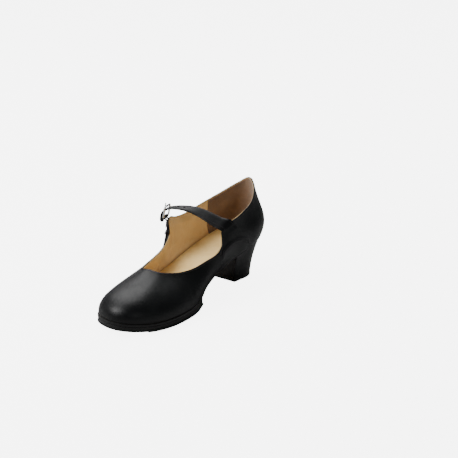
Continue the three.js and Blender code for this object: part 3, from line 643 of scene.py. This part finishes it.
def outline(grow):
    """x of the outer and inner edge at y, and the y of both ends."""
    u = np.arange(2240) * COUNT / 2240
    p = station(u)[:, :2]
    p = p + foot_normal(u) * np.broadcast_to(grow(p[:, 1]), len(p))[:, None]
    tip, tail = p[:, 1].argmin(), p[:, 1].argmax()
    sides = []
    for step in (-1, 1):
        walk = p[(tip + step * np.arange((step * (tail - tip)) % len(p) + 1)) % len(p)]
        sides.append((np.maximum.accumulate(walk[:, 1]) + np.arange(len(walk)) * 1e-7, walk[:, 0]))
    return lambda y: [np.interp(y, ys, xs) for ys, xs in sides], p[tip, 1], p[tail, 1]


def feather_z(y):
    return smooth(FEATHER_Z, y)


def tread_z(y):
    return np.maximum(0, smooth(TREAD_Z, y))


def plate(name, grow, top, bottom, finish, rows=110, columns=9, corner=0.5, cuts=(), dish=None):
    edges, first, last = outline(grow)
    y = first + (last - first) * (1 - np.cos(np.pi * np.arange(rows + 1) / rows)) / 2
    outer, inner = edges(y)
    rim = np.concatenate((np.stack((inner, y), -1), np.stack((outer, y), -1)[-2:0:-1]))
    step = np.roll(rim, -1, 0) - np.roll(rim, 1, 0)
    normal = unit(np.stack((step[:, 1], -step[:, 0]), -1))
    spine_y = np.clip(rim[:, 1], first + 24, last - 18)
    spine = np.stack((np.mean(edges(spine_y), 0), spine_y), -1)
    rings, ink = [], []

    def ring(inset, height, marked):
        xy = rim - normal * inset
        rings.append(np.concatenate((xy, height(xy[:, 1])[:, None]), -1))
        ink.append(np.full(len(rim), marked))

    def fan(height, order):
        for t in order:
            xy = spine + (rim - normal * corner - spine) * t
            lift = dish(t) if dish else 0
            rings.append(np.concatenate((xy, (height(xy[:, 1]) + lift)[:, None]), -1))
            ink.append(np.zeros(len(rim)))

    steps = np.linspace(0, 1, columns)
    fan(bottom, steps[:-1])
    ring(corner + 0.4, bottom, 0.0)
    ring(corner, bottom, 1.0)
    for a in np.radians((22, 45, 68, 90)):
        ring(corner * (1 - math.sin(a)), lambda y, a=a: bottom(y) + corner * (1 - math.cos(a)), 1.0)
    rim_lift = dish(1) if dish else 0
    for a in np.radians((90, 45, 0)):
        ring(corner * (1 - math.sin(a)), lambda y, a=a: top(y) - corner * (1 - math.cos(a)) + rim_lift, 1.0)
    fan(top, steps[-2::-1])
    return make(name, np.array(rings), band(len(rings), len(rim)), finish, {"ink": np.array(ink)}, cuts=cuts)


print("outline helpers ready; sole is", outline(sole_grow)[2] - outline(sole_grow)[1], "mm long")

# %% [markdown]
# The sock is the thin leather that the foot stands on. It is a little dished, because the foot
# has pressed its middle down. The outsole runs the whole length; under the forefoot lies a
# platform layer, then rubber, and a leather toe piece that holds the nails.

# %% Sock, outsole, platform and toe piece
sock = plate("insole_sock_calf", lambda y: -2.9, lambda y: feather_z(y) + 4.1, lambda y: feather_z(y) + 3.6,
             "sock", corner=0.3, columns=12, dish=lambda t: 0.75 * t**4)
settle(sock, "shoe", ["insole_sock"])
outsole = plate("outsole_leather", sole_grow, lambda y: feather_z(y) - 0.02,
                lambda y: feather_z(y) - AIR - OUTSOLE, "waist", rows=150, columns=11, corner=0.7)
settle(outsole, "shoe", ["outsole"])
PLATFORM_END, TOE_PIECE_END, HALF_SOLE_END = 119.5, 27.0, 122.5
platform = plate("platform_layer", lambda y: sole_grow(y) - 0.25,
                 lambda y: feather_z(y) - AIR - OUTSOLE - 0.03, lambda y: tread_z(y) + RUBBER + 0.03,
                 "edge", corner=0.35, cuts=[(PLATFORM_END, 1)])
settle(platform, "shoe", ["platform"])
toe_piece = plate("toe_piece_leather", sole_grow, lambda y: tread_z(y) + RUBBER, lambda y: tread_z(y) + 0.75,
                  "toe", corner=0.5, cuts=[(TOE_PIECE_END - 0.05, 1)])
settle(toe_piece, "shoe", ["toe_piece"])

# %% [markdown]
# ## The ripple half sole
# The rubber has fine waves right across it. A rule makes them, so Geometry Nodes do the work:
# each point under the sole moves up or down by a sine of its y, with a little noise so that
# the waves wander. The half sole's mesh carries a value `tread` that is 1 only underneath.

# %% Half sole blank
half_edges = outline(sole_grow)[0]
half_ys = np.arange(TOE_PIECE_END + 0.25, HALF_SOLE_END, 0.4)
half_x0, half_x1 = half_edges(half_ys)
half_t = np.linspace(0, 1, 41)
corner = 0.45
bottom_x = half_x0[:, None] + corner + (half_x1 - half_x0 - 2 * corner)[:, None] * half_t
rows_x = [bottom_x, half_x1[:, None] + np.zeros((1, 2)), bottom_x[:, ::-4],
          half_x0[:, None] + np.zeros((1, 2))]
ground = tread_z(half_ys)[:, None]
rows_z = [ground + np.zeros_like(bottom_x), ground + (corner, RUBBER - 0.2),
          ground + RUBBER + np.zeros_like(rows_x[2]), ground + (RUBBER - 0.2, corner)]
half_x, half_z = np.concatenate(rows_x, 1), np.concatenate(rows_z, 1)
half_points = np.stack((half_x, np.broadcast_to(half_ys[:, None], half_x.shape), half_z), -1)
inked = np.concatenate([np.full(r.shape, float(i > 0)) for i, r in enumerate(rows_x)], 1)
inked[:, [0, 40]] = 1
inked[[0, -1]] = 1
tread = np.zeros_like(half_x)
tread[:, 2:39] = 1
tread[:3] = tread[-3:] = 0
half_sole = make("half_sole_rubber", half_points, solid_band(*half_x.shape), "rubber",
                 {"ink": inked, "tread": tread})


# %% Geometry Nodes helpers
def new_tree(name, **inputs):
    """A geometry tree with named inputs: number, whole number or vector by the default's type."""
    tree = bpy.data.node_groups.new(name, "GeometryNodeTree")
    tree.interface.new_socket("Geometry", in_out="INPUT", socket_type="NodeSocketGeometry")
    for key, value in inputs.items():
        kind = {int: "NodeSocketInt", float: "NodeSocketFloat", tuple: "NodeSocketVector"}[type(value)]
        tree.interface.new_socket(key, in_out="INPUT", socket_type=kind).default_value = value
    tree.interface.new_socket("Geometry", in_out="OUTPUT", socket_type="NodeSocketGeometry")
    return tree, tree.nodes.new("NodeGroupInput").outputs


def hand_out(tree, copies, finish):
    """Ends a tree: copies become smooth mesh with a finish."""
    real = node(tree, "GeometryNodeRealizeInstances", Geometry=copies)
    smoothed = node(tree, "GeometryNodeSetShadeSmooth", Geometry=real)
    node(tree, "NodeGroupOutput", Geometry=node(tree, "GeometryNodeSetMaterial", Geometry=smoothed,
                                                Material=FINISH[finish]))


def evaluated(obj):
    """A plain mesh of obj with its modifiers done."""
    bpy.context.view_layer.update()
    return bpy.data.meshes.new_from_object(obj.evaluated_get(bpy.context.evaluated_depsgraph_get()))


def dress(mesh, finish):
    mesh.materials.clear()
    mesh.materials.append(FINISH[finish])
    return mesh


def grown(base, tree, name, finish, **inputs):
    """Runs the tree on base, and gives the result as a plain mesh object."""
    modifier = base.modifiers.new("grow", "NODES")
    modifier.node_group = tree
    for item in tree.interface.items_tree:
        if item.name in inputs:
            modifier[item.identifier] = inputs[item.name]
    mesh = dress(evaluated(base), finish)
    mesh.name = name
    bpy.data.objects.remove(base)
    print(f"{name}: {len(mesh.polygons)} faces")
    return linked(name, mesh)


# %% Ripples
ripple_tree, given = new_tree("ripples", Pitch=0.0026, Depth=0.00028, Wander=0.6, Seed=3)
xyz = node(ripple_tree, "ShaderNodeSeparateXYZ", _0=node(ripple_tree, "GeometryNodeInputPosition"))
turns = calc(ripple_tree, "DIVIDE", xyz.outputs[1], given["Pitch"])
noise = node(ripple_tree, "ShaderNodeTexNoise", {"noise_dimensions": "4D"}, W=given["Seed"], Scale=28.0)
phase = calc(ripple_tree, "ADD", turns, calc(ripple_tree, "MULTIPLY", noise, given["Wander"]))
wave = calc(ripple_tree, "SINE", calc(ripple_tree, "MULTIPLY", phase, 2 * math.pi))
deep = calc(ripple_tree, "MULTIPLY", calc(ripple_tree, "MULTIPLY_ADD", wave, 0.5, 0.5), given["Depth"])
mask = node(ripple_tree, "GeometryNodeInputNamedAttribute", {"data_type": "FLOAT"}, Name="tread")
masked = calc(ripple_tree, "MULTIPLY", deep, mask)
offset = node(ripple_tree, "ShaderNodeCombineXYZ", Z=masked)
moved = node(ripple_tree, "GeometryNodeSetPosition", Geometry=given["Geometry"], Offset=offset)
dressed = node(ripple_tree, "GeometryNodeSetMaterial", Geometry=moved, Material=FINISH["rubber"])
node(ripple_tree, "NodeGroupOutput", Geometry=dressed)
half_sole = grown(half_sole, ripple_tree, "half_sole_ripple_rubber", "rubber")
settle(half_sole, "shoe", ["half_sole"])

# %% [markdown]
# ## Nails
# The sound of the shoe: dozens of small nails with domed heads, driven close together into toe
# and heel. The points lie on a grid; the tree shifts, turns and scales each head a little,
# as a hand would leave them, and turns the copies into real mesh.

# %% The nail tree
nail_tree, given = new_tree("nails", Radius=0.00125, Height=0.0005, Jitter=0.0002, Seed=11)
shift = node(nail_tree, "FunctionNodeRandomValue", {"data_type": "FLOAT_VECTOR"}, Min=(-1, -1, 0),
             Max=(1, 1, 0), Seed=given["Seed"])
shifted = node(nail_tree, "ShaderNodeVectorMath", {"operation": "SCALE"}, _0=shift, Scale=given["Jitter"])
points = node(nail_tree, "GeometryNodeSetPosition", Geometry=given["Geometry"], Offset=shifted)
head = node(nail_tree, "GeometryNodeMeshUVSphere", Segments=12, Rings=6, Radius=1.0)
size = node(nail_tree, "ShaderNodeCombineXYZ", X=given["Radius"], Y=given["Radius"], Z=given["Height"])
grow_by = node(nail_tree, "FunctionNodeRandomValue", {"data_type": "FLOAT"}, Seed=given["Seed"])
grow_by.inputs[2].default_value, grow_by.inputs[3].default_value = 0.86, 1.0
scale = node(nail_tree, "ShaderNodeVectorMath", {"operation": "SCALE"}, _0=size,
             Scale=grow_by.outputs[1])
tilt = node(nail_tree, "FunctionNodeRandomValue", {"data_type": "FLOAT_VECTOR"}, Min=(-0.08, -0.08, 0.0),
            Max=(0.08, 0.08, 6.2), Seed=given["Seed"])
nails = node(nail_tree, "GeometryNodeInstanceOnPoints", Points=points, Instance=head,
             Rotation=tilt, Scale=scale)
hand_out(nail_tree, nails, "nail")


def cloud(name, points):
    """A mesh of loose points in the drawing."""
    mesh = bpy.data.meshes.new(name)
    mesh.from_pydata(place(points).tolist(), [], [])
    return linked(name, mesh)


# %% Nails in the toe
PITCH, HEAD = 2.8, 0.5
cells = np.array([(i, j) for i in range(-10, 11) for j in range(-10, 11)]) * PITCH
toe_edges, toe_first, _ = outline(sole_grow)
toe_xy = cells + (8.5, 23.2)
row_y = toe_xy[:, 1] - PITCH / 2
row_x0, row_x1 = toe_edges(row_y)
TOE_MARGIN = 6.2
inside = (cells[:, 1] <= 0) & (row_y >= toe_first + TOE_MARGIN - 1.4)
inside &= (toe_xy[:, 0] > row_x0 + TOE_MARGIN) & (toe_xy[:, 0] < row_x1 - TOE_MARGIN)
toe_xy = toe_xy[inside]
toe_points = np.column_stack((toe_xy, tread_z(toe_xy[:, 1]) + HEAD))
toe_nails = grown(cloud("toe_nail_points", toe_points), nail_tree, "toe_nail_heads", "nail", Seed=11)
settle(toe_nails, "shoe", ["toe_nails"])
print(len(toe_points), "nails in the toe")

# %% [markdown]
# ## The heel
# A wooden block covered in black calf, with a dark breast in front and a leather top lift below.
# The block keeps its CAD shape, hidden inside. The cover is drawn ring by ring, from the lift
# to the seat; its sides curve in between, which gives the heel its waist.

# %% Heel rings
LIFT, LIFT_FOOT = 4.2 + 0.85, 0.9
LEVELS = np.linspace(0, 1, 26)
# each at the top lift and at the seat
HEEL_HALF, HEEL_FRONT_Y, HEEL_BACK_Y, HEEL_WAIST = (17.2, 25.2), (198.5, 191), (237, 244.2), 1.2


def heel_ring(k, inset, count=90):
    waist = -HEEL_WAIST * math.sin(math.pi * k)
    w, y0, y1 = (low + (high - low) * k for low, high in (HEEL_HALF, HEEL_FRONT_Y, HEEL_BACK_Y))
    w, y0, y1 = w + waist - inset, y0 + inset, y1 + waist * 0.8 - inset
    ym = y0 + (y1 - y0) * 0.42
    a = np.pi * np.arange(count - 1) / (count - 2)
    c, s = np.cos(a), np.sin(a)
    back_x = w * np.sign(c) * np.abs(c)**0.86
    back_y = ym + (y1 - ym) * np.abs(s)**0.86
    fore = [(w * 0.985, y0 + (ym - y0) * t) for t in (0, 0.33, 0.66)]
    aft = [(-x, y) for x, y in reversed(fore)]
    return np.array(fore + list(zip(back_x, back_y)) + aft)


def heel_z(k, y):
    seat = feather_z(y) - AIR - OUTSOLE - 0.1
    return LIFT + 0.05 + (seat - LIFT - 0.05) * k


cover = []
for k in LEVELS:
    faces_xy = np.concatenate((heel_ring(k, 0), heel_ring(k, 1.0)[::-1]))
    cover.append(np.column_stack((faces_xy, heel_z(k, faces_xy[:, 1]))))
heel_cover = make("heel_cover_calf", np.array(cover), sheet_band(len(LEVELS), len(cover[0]) // 2), "calf")
settle(heel_cover, "shoe", ["heel_cover"])

# %% Heel breast
breast = []
for k in LEVELS:
    ring_w, ring_y = heel_ring(k, 0)[0]
    x = np.linspace(-ring_w + 0.3, ring_w - 0.3, 24)
    hollow = 1.6 * (1 - (x / ring_w)**2) * math.sin(math.pi * min(1, k + 0.08))
    front, rear = ring_y - 0.5 + hollow, ring_y + 0.25 + hollow
    xs, ys = np.concatenate((x, x[::-1])), np.concatenate((front, rear[::-1]))
    breast.append(np.column_stack((xs, ys, heel_z(k, ys))))
heel_breast = make("heel_breast_leather", np.array(breast), sheet_band(len(LEVELS), 24), "breast")
settle(heel_breast, "shoe", ["heel_breast"])

# %% Top lift
lift_rings, lift_ink = [], []
for inset, z, inked_here in ((0.6, LIFT_FOOT, 0), (0.25, LIFT_FOOT + 0.15, 1), (0.05, LIFT_FOOT + 0.5, 1),
                             (-0.1, LIFT_FOOT + 2.2, 1), (0, LIFT - 0.2, 1), (0.2, LIFT, 1)):
    xy = heel_ring(0, inset)
    lift_rings.append(np.column_stack((xy, np.full(len(xy), z))))
    lift_ink.append(np.full(len(xy), inked_here))
lift_faces = solid_band(len(lift_rings), len(lift_rings[0]))
top_lift = make("top_lift_leather", np.array(lift_rings), lift_faces, "toe",
                {"ink": np.array(lift_ink, float)})
settle(top_lift, "shoe", ["top_lift"])

# %% Nails in the heel
heel_cells = np.array([(i, j) for i in range(-7, 8) for j in range(-7, 8)]) * PITCH


def within(xy, margin):
    """True where a point of the top lift is at least margin inside its edge."""
    edge = heel_ring(0, margin, 20)
    reach = np.array([max([a for a, b in edge if b >= y - 0.01], default=0) for _, y in xy])
    x, y = xy.T
    return (np.abs(x) <= reach) & (y <= HEEL_BACK_Y[0] - margin) & (y > HEEL_FRONT_Y[0] + 2)


heel_xy = heel_cells + (0, 217)
open_front = (heel_xy[:, 1] < 207.5) & (np.abs(heel_xy[:, 0]) < 8)
heel_xy = heel_xy[within(heel_xy, 2.1) & ~within(heel_xy, 9.3) & ~open_front]
heel_points = np.column_stack((heel_xy, np.full(len(heel_xy), HEAD)))
heel_nails = grown(cloud("heel_nail_points", heel_points), nail_tree, "heel_nail_heads", "nail", Seed=23)
settle(heel_nails, "shoe", ["heel_nails"])
print(len(heel_points), "nails in the heel")

# %% [markdown]
# ## The strap
# The strap is cut in one with the inner quarter, so its root spreads into the quarter. It rises
# over the instep, goes through the ring and hangs down outside.

# %% Strap path
STRAP_PATH = np.array([
    (27.2, 164.5, 75.4), (20, 161.5, 79.3), (10, 158.7, 83), (0, 156.6, 86), (-9, 154, 87.8),
    (-17.5, 150.4, 88.4), (-25, 147, 88), (-31.6, 144.6, 86.2), (-36.2, 143.1, 82.4), (-37.9, 142.5, 77),
    (-37.6, 142.3, 71)])
ROOT_AXIS, END_AXIS = unit(np.array((0.05, 0.9, 0.43))), unit(np.array((-0.3, 0.95, -0.03)))
THICK = 1.8


def catmull(path, s):
    """A point of the open curve through path, s from 0 to 1."""
    ends = np.concatenate(([2 * path[0] - path[1]], path, [2 * path[-1] - path[-2]]))
    s = np.clip(np.asarray(s, float), 0, 1) * (len(path) - 1)
    i = np.minimum(s.astype(int), len(path) - 2)
    t = (s - i)[..., None]
    return spline(t, *(ends[i + k] for k in range(4)))


root_path = np.array([skin(9.1, v, 1.75) for v in (0.80, 0.88, 0.95)])
strap_path = np.concatenate((root_path, [(26.6, 164.3, 77.2)], STRAP_PATH[1:]))
ROOT_SHARE = 3.6 / (len(strap_path) - 1)       # the part of the path that lies on the quarter


def strap_frame(s):
    """Centre, direction, width axis and outward axis of the strap at s."""
    p = catmull(strap_path, s)
    t = unit(catmull(strap_path, s + 0.002) - catmull(strap_path, s - 0.002))
    blend = np.clip((s - 0.46) / 0.246, 0, 1)[..., None]
    wide = ROOT_AXIS * (1 - blend) + END_AXIS * blend
    wide = unit(wide - t * (wide * t).sum(-1, keepdims=True))
    return p, t, wide, unit(np.cross(wide, t))


def strap_half(s):
    """Half the strap's width: it spreads at the root and is round at its end."""
    flare = 5.5 * (1 - ease(s / (ROOT_SHARE * 1.15)))**1.5
    body = np.interp(s, (ROOT_SHARE, ROOT_SHARE + 0.25), (6.6, 5.7))
    return (body + flare) * np.sqrt(np.maximum(0.06, 1 - np.clip((s - 0.955) / 0.047, 0, 1)**2))


ACROSS = np.concatenate((np.linspace(-1, 1, 13), np.linspace(1, -1, 13)))
OVER = np.concatenate((np.ones(13), -np.ones(13)))


def strap_sections(s):
    p, t, wide, up = strap_frame(s)
    half = strap_half(s)[:, None]
    # the root sweeps into the opening's edge
    web = 2.2 * (ease(s / 0.25) * (1 - ease((s - 0.25) / 0.3))**2)[:, None]
    thick = THICK / 2 * np.interp(s, (0, ROOT_SHARE), (0.22, 1))[:, None]
    bead = 1 - 0.75 * np.abs(ACROSS)**8            # rounded edges
    groove = 0.16 * np.exp(-((np.abs(ACROSS) - 0.72) / 0.05)**2)
    lift = OVER * thick * bead - groove * (OVER > 0)
    across = half * ACROSS - web * np.clip(-ACROSS, 0, 1)
    return p[:, None] + wide[:, None] * across[..., None] + up[:, None] * lift[..., None]


# %% Strap mesh
strap_s = np.linspace(0, 1, 210)
strap_rows = strap_sections(strap_s)
strap = make("strap_calf", strap_rows, sheet_band(len(strap_s), 13), "calf", sharp=60)
steps = np.linalg.norm(np.diff(strap_rows.mean(1), axis=0), axis=1)
print("the strap's centre line is", round(float(steps.sum())), "mm")

# %% [markdown]
# The prong of the buckle goes through a hole in the strap. A boolean cuts that hole, and the
# spare holes above it, so that they are real holes with walls.

# %% Buckle places
BAR = np.array((-34.6, 144.3, 77))
BAR_AXIS = END_AXIS
ring_up = np.array((0.12, 0, 0.99))
ring_up = unit(ring_up - BAR_AXIS * (ring_up @ BAR_AXIS))
prong_out = np.cross(ring_up, BAR_AXIS)
prong_out = prong_out * -np.sign(prong_out[0])
WIRE, RING_LENGTH, RING_WIDTH, RING_CORNER, PRONG_WIRE = 0.95, 13.6, 17.4, 2.2, 0.65


def at_bar(out, up, along=0.0):
    """A point by its place from the buckle's bar, in millimetres."""
    out, up, along = (np.asarray(a, float)[..., None] for a in (out, up, along))
    return BAR + prong_out * out + ring_up * up + BAR_AXIS * along


def circle(x, y, sides):
    """Points of a unit circle in the plane of x and y."""
    a = 2 * np.pi * np.arange(sides)[:, None] / sides
    return np.cos(a) * x + np.sin(a) * y


def rod(centre, axis, radius, length, sides=20):
    """A cylinder, as a tool for cutting."""
    axis = unit(np.asarray(axis, float))
    x = unit(np.cross(axis, (0.3, 0.2, 0.9)))
    y = np.cross(axis, x)
    points = np.concatenate([centre + circle(x, y, sides) * radius + axis * e * length / 2 for e in (-1, 1)])
    return points, solid_band(2, sides)


def punch(target, tools):
    """Cuts closed tools out of target, and leaves a plain mesh."""
    parts = [make(f"tool_{i}", *tool, "edge") for i, tool in enumerate(tools)]
    for part in parts:
        cut = target.modifiers.new("punch", "BOOLEAN")
        cut.operation, cut.object, cut.solver = "DIFFERENCE", part, "EXACT"
    mesh = dress(evaluated(target), "calf")
    target.modifiers.clear()
    target.data = mesh
    for part in parts:
        bpy.data.objects.remove(part)


HOLE_S = (0.60, 0.655, 0.71)
tools = [rod(at_bar(2.0, 2.2 + 1.4 * i), prong_out, 1.15, 9) for i in range(4)]
for s in HOLE_S:
    p, _, _, up = strap_frame(np.array([s]))
    tools.append(rod(p[0], up[0], 1.0, 5))
punch(strap, tools)
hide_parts("strap", "strap_tip")
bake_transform(strap)
print("strap punched")

# %% [markdown]
# ## The buckle
# Ring and prong are bent from round nickel-plated wire. Both turn on the ring's lower bar,
# which is held in a leather tab sewn to the outer ear.

# %% Wire pieces
def wire_sections(path, radius, sides=14, closed=False):
    """Circles along a path, turned from one to the next without twist."""
    path = np.asarray(path, float)
    ahead = np.roll(path, -1, 0) - np.roll(path, 1, 0)
    if not closed:
        ahead[0], ahead[-1] = path[1] - path[0], path[-1] - path[-2]
    ahead = unit(ahead)
    side = unit(np.cross((0.3, 1, 0.2), ahead[0]))
    sections = []
    for p, t in zip(path, ahead):
        side = unit(side - t * (side @ t))
        sections.append(p + radius * circle(side, np.cross(t, side), sides))
    return np.array(sections)


def wire(name, path, radius, closed, finish, body, nodes):
    sections = wire_sections(path, radius, closed=closed)
    n, k = sections.shape[:2]
    faces = band(n, k, True) if closed else solid_band(n, k)
    return settle(make(name, sections, faces, finish), body, nodes)


ring_path = []
for c, (sx, sy) in enumerate(((1, 0), (1, 1), (-1, 1), (-1, 0))):
    for a in np.radians(90 * (c - 1) + np.linspace(0, 90, 10)):
        along = sx * (RING_WIDTH / 2 - WIRE - RING_CORNER) + RING_CORNER * math.cos(a)
        up = (RING_LENGTH - 2 * WIRE - RING_CORNER if sy else RING_CORNER) + RING_CORNER * math.sin(a)
        ring_path.append(at_bar(0, up, along))
wire("buckle_ring_wire", ring_path, WIRE, True, "nickel", "buckle_ring", ["buckle_ring"])
EYE = WIRE + PRONG_WIRE + 0.2
eye_angles = np.radians(np.linspace(-200, 0, 30))
prong_knots = np.array([(EYE, 0), (EYE + 0.15, 2), (EYE + 0.4, RING_LENGTH / 2),
                        (EYE + 0.35, RING_LENGTH + 0.5)])
prong_run = catmull(np.column_stack((prong_knots, np.zeros(4))), np.linspace(0.04, 1, 30))
prong_path = np.concatenate((at_bar(EYE * np.cos(eye_angles), EYE * np.sin(eye_angles)),
                             at_bar(prong_run[:, 0], prong_run[:, 1])))
wire("buckle_prong_wire", prong_path, PRONG_WIRE, False, "nickel", "buckle_prong",
     ["buckle_prong"])

# %% Tab
TAB_THICK, TAB_WIDTH, EAR, TAIL_AT = 0.6, 7.6, 20.3, 2.5
tab_inner = WIRE + 0.3 + TAB_THICK / 2
tab_angles = np.radians(-25 + 29 * np.arange(9))
tab_knots = np.concatenate(([skin(EAR, v, TAIL_AT) for v in (0.78, 0.833, 0.887, 0.94)], [at_bar(0.35, -2.1)],
                            at_bar(tab_inner * np.cos(tab_angles), tab_inner * np.sin(tab_angles))))
tab_s = np.linspace(0, 1, 90)
tab_line = catmull(tab_knots, tab_s)
tab_ahead = unit(catmull(tab_knots, tab_s + 0.004) - catmull(tab_knots, tab_s - 0.004))
EAR_AXIS = unit(skin(EAR - 0.1, 1.0, 0) - skin(EAR + 0.1, 1.0, 0))
tab_wide = unit(EAR_AXIS + (BAR_AXIS - EAR_AXIS) * np.clip((tab_s * 13 - 1) / 3, 0, 1)[:, None])
tab_up = unit(np.cross(tab_wide, tab_ahead))
tab_lift = OVER * TAB_THICK / 2 * (1 - 0.6 * np.abs(ACROSS)**8)
tab_rows = (tab_line[:, None] + tab_wide[:, None] * (ACROSS * TAB_WIDTH / 2)[:, None]
            + tab_up[:, None] * tab_lift[:, None])
tab = make("buckle_tab_calf", tab_rows, sheet_band(len(tab_s), 13), "calf", sharp=60)
slot_half, slot_z = PRONG_WIRE + 0.45, 4.0
slot_corners = [at_bar(0.4 + o * 3.5, 0.8 + u * slot_z, a * slot_half)
                for a in (-1, 1) for o, u in ((-1, -1), (1, -1), (1, 1), (-1, 1))]
punch(tab, [(np.array(slot_corners), solid_band(2, 4))])
settle(tab, "shoe", ["buckle_tab"])

# %% [markdown]
# ## Stitching
# A sewing machine sets one stitch every two and a half millimetres. Each row is a curve just
# above the leather; the tree places small beads of thread along it, turned to follow it.

# %% The stitch tree
stitch_tree, given = new_tree("stitches", Pitch=0.0025, Length=0.001, Thread=0.00026)
spaced = node(stitch_tree, "GeometryNodeResampleCurve", {"mode": "LENGTH"}, Curve=given["Geometry"],
              Length=given["Pitch"])
bead = node(stitch_tree, "GeometryNodeMeshUVSphere", Segments=8, Rings=5, Radius=1.0)
bead_size = node(stitch_tree, "ShaderNodeCombineXYZ", X=given["Length"], Y=given["Thread"], Z=given["Thread"])
follow = node(stitch_tree, "FunctionNodeAlignRotationToVector", {"axis": "X"},
              Vector=node(stitch_tree, "GeometryNodeInputTangent"))
beads = node(stitch_tree, "GeometryNodeInstanceOnPoints", Points=spaced, Instance=bead,
             Rotation=follow, Scale=bead_size)
hand_out(stitch_tree, beads, "thread")


def seam(name, rows, finish="thread", **inputs):
    """Stitches along each row of drawing points."""
    curve = bpy.data.curves.new(name + "_rows", "CURVE")
    curve.dimensions = "3D"
    for row in rows:
        spline = curve.splines.new("POLY")
        spline.points.add(len(row) - 1)
        spline.points.foreach_set("co", np.column_stack((place(row), np.ones(len(row)))).ravel())
    return grown(linked(name + "_rows", curve), stitch_tree, name, finish, **inputs)


def drop(u, mm):
    """The height v that lies mm below the opening's edge at station u."""
    return 1 - mm / np.linalg.norm(last_point(u, 1.0) - last_point(u, 0.9), axis=-1) * 0.1


# %% Rows on the upper
top_rows = []
for u0, u1 in ((CORNER_OUTER - COUNT + 0.1, CORNER_INNER - 0.1), (CORNER_INNER + 0.12, 8.3),
               (9.9, BACK - 0.3), (BACK + 0.3, CORNER_OUTER - 0.12)):
    us = np.linspace(u0, u1, 160)
    top_rows.append(skin(us, drop(us, 2.0), 2 * HALF + 0.08))
lap_rows = []
for u0, u1 in ((CORNER_INNER + 0.5, CORNER_INNER + 5.2), (CORNER_OUTER - 0.5, CORNER_OUTER - 5.2)):
    us = np.linspace(u0, u1, 120)
    height = np.linalg.norm(last_point(us, 1.0) - last_point(us, 0.0), axis=-1)
    for above in (1.5, 3.2):
        v = smooth(SEAM, past_corner(us)) - 0.005 + above / height
        lift = 2 * HALF + 0.08 + (2 * HALF + 0.05) * (1 - ease(above / 7))
        lap_rows.append(skin(us, v, lift))
strip_rows = [skin(BACK + side * 0.16, np.linspace(0.04, 0.96, 80), 2.15) for side in (-1, 1)]
upper_stitches = seam("upper_stitches", top_rows + lap_rows + strip_rows)
settle(upper_stitches, "shoe")

# %% Rows on strap, tab and lining
row_s = np.linspace(ROOT_SHARE * 0.5, 0.955, 200)
p, t, wide, up = strap_frame(row_s)
strap_rows = [p + wide * (strap_half(row_s) * 0.72 * side)[:, None] + up * (THICK / 2 - 0.02)
              for side in (-1, 1)]
strap_stitches = seam("strap_stitches", strap_rows, Pitch=0.0022, Length=0.0009, Thread=0.00022)
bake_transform(strap_stitches)
tab_rows = [tab_line[4:28] + tab_wide[4:28] * side * 2.9 + tab_up[4:28] * -(TAB_THICK / 2)
            for side in (-1, 1)]
tab_rows.append(np.linspace(tab_rows[0][0], tab_rows[1][0], 12))
tab_stitches = seam("tab_stitches", tab_rows, Pitch=0.002, Length=0.0008, Thread=0.0002)
settle(tab_stitches, "shoe")
grip_rows = []
for u in (GRIP[0] + 0.09, GRIP[1] - 0.09):
    v = np.linspace(0.1, 0.95, 60)
    grip_rows.append(skin(u, v, lining_middle(u, v, 0) - RIM / 2 - 0.05))
grip_stitches = seam("grip_stitches", grip_rows, "tan_thread")
settle(grip_stitches, "shoe")

# %% [markdown]
# ## Hidden pieces
# Board, cork, shank, block, screw and nails keep their CAD shapes inside the shoe. Each only gets
# the finish of its real material, for when the shoe is taken apart.

# %% Finishes of the hidden pieces
HIDDEN = {"toe_puff": "board", "heel_counter": "board", "insole_board": "board", "cork_filler": "cork",
          "shank": "steel", "heel_block": "wood", "heel_screw": "steel",
          **{f"seat_nail_{i}": "steel" for i in (1, 2, 3, 4)}}
for name, finish in HIDDEN.items():
    dress(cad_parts[name].data, finish)
print(len(HIDDEN), "hidden nodes finished")
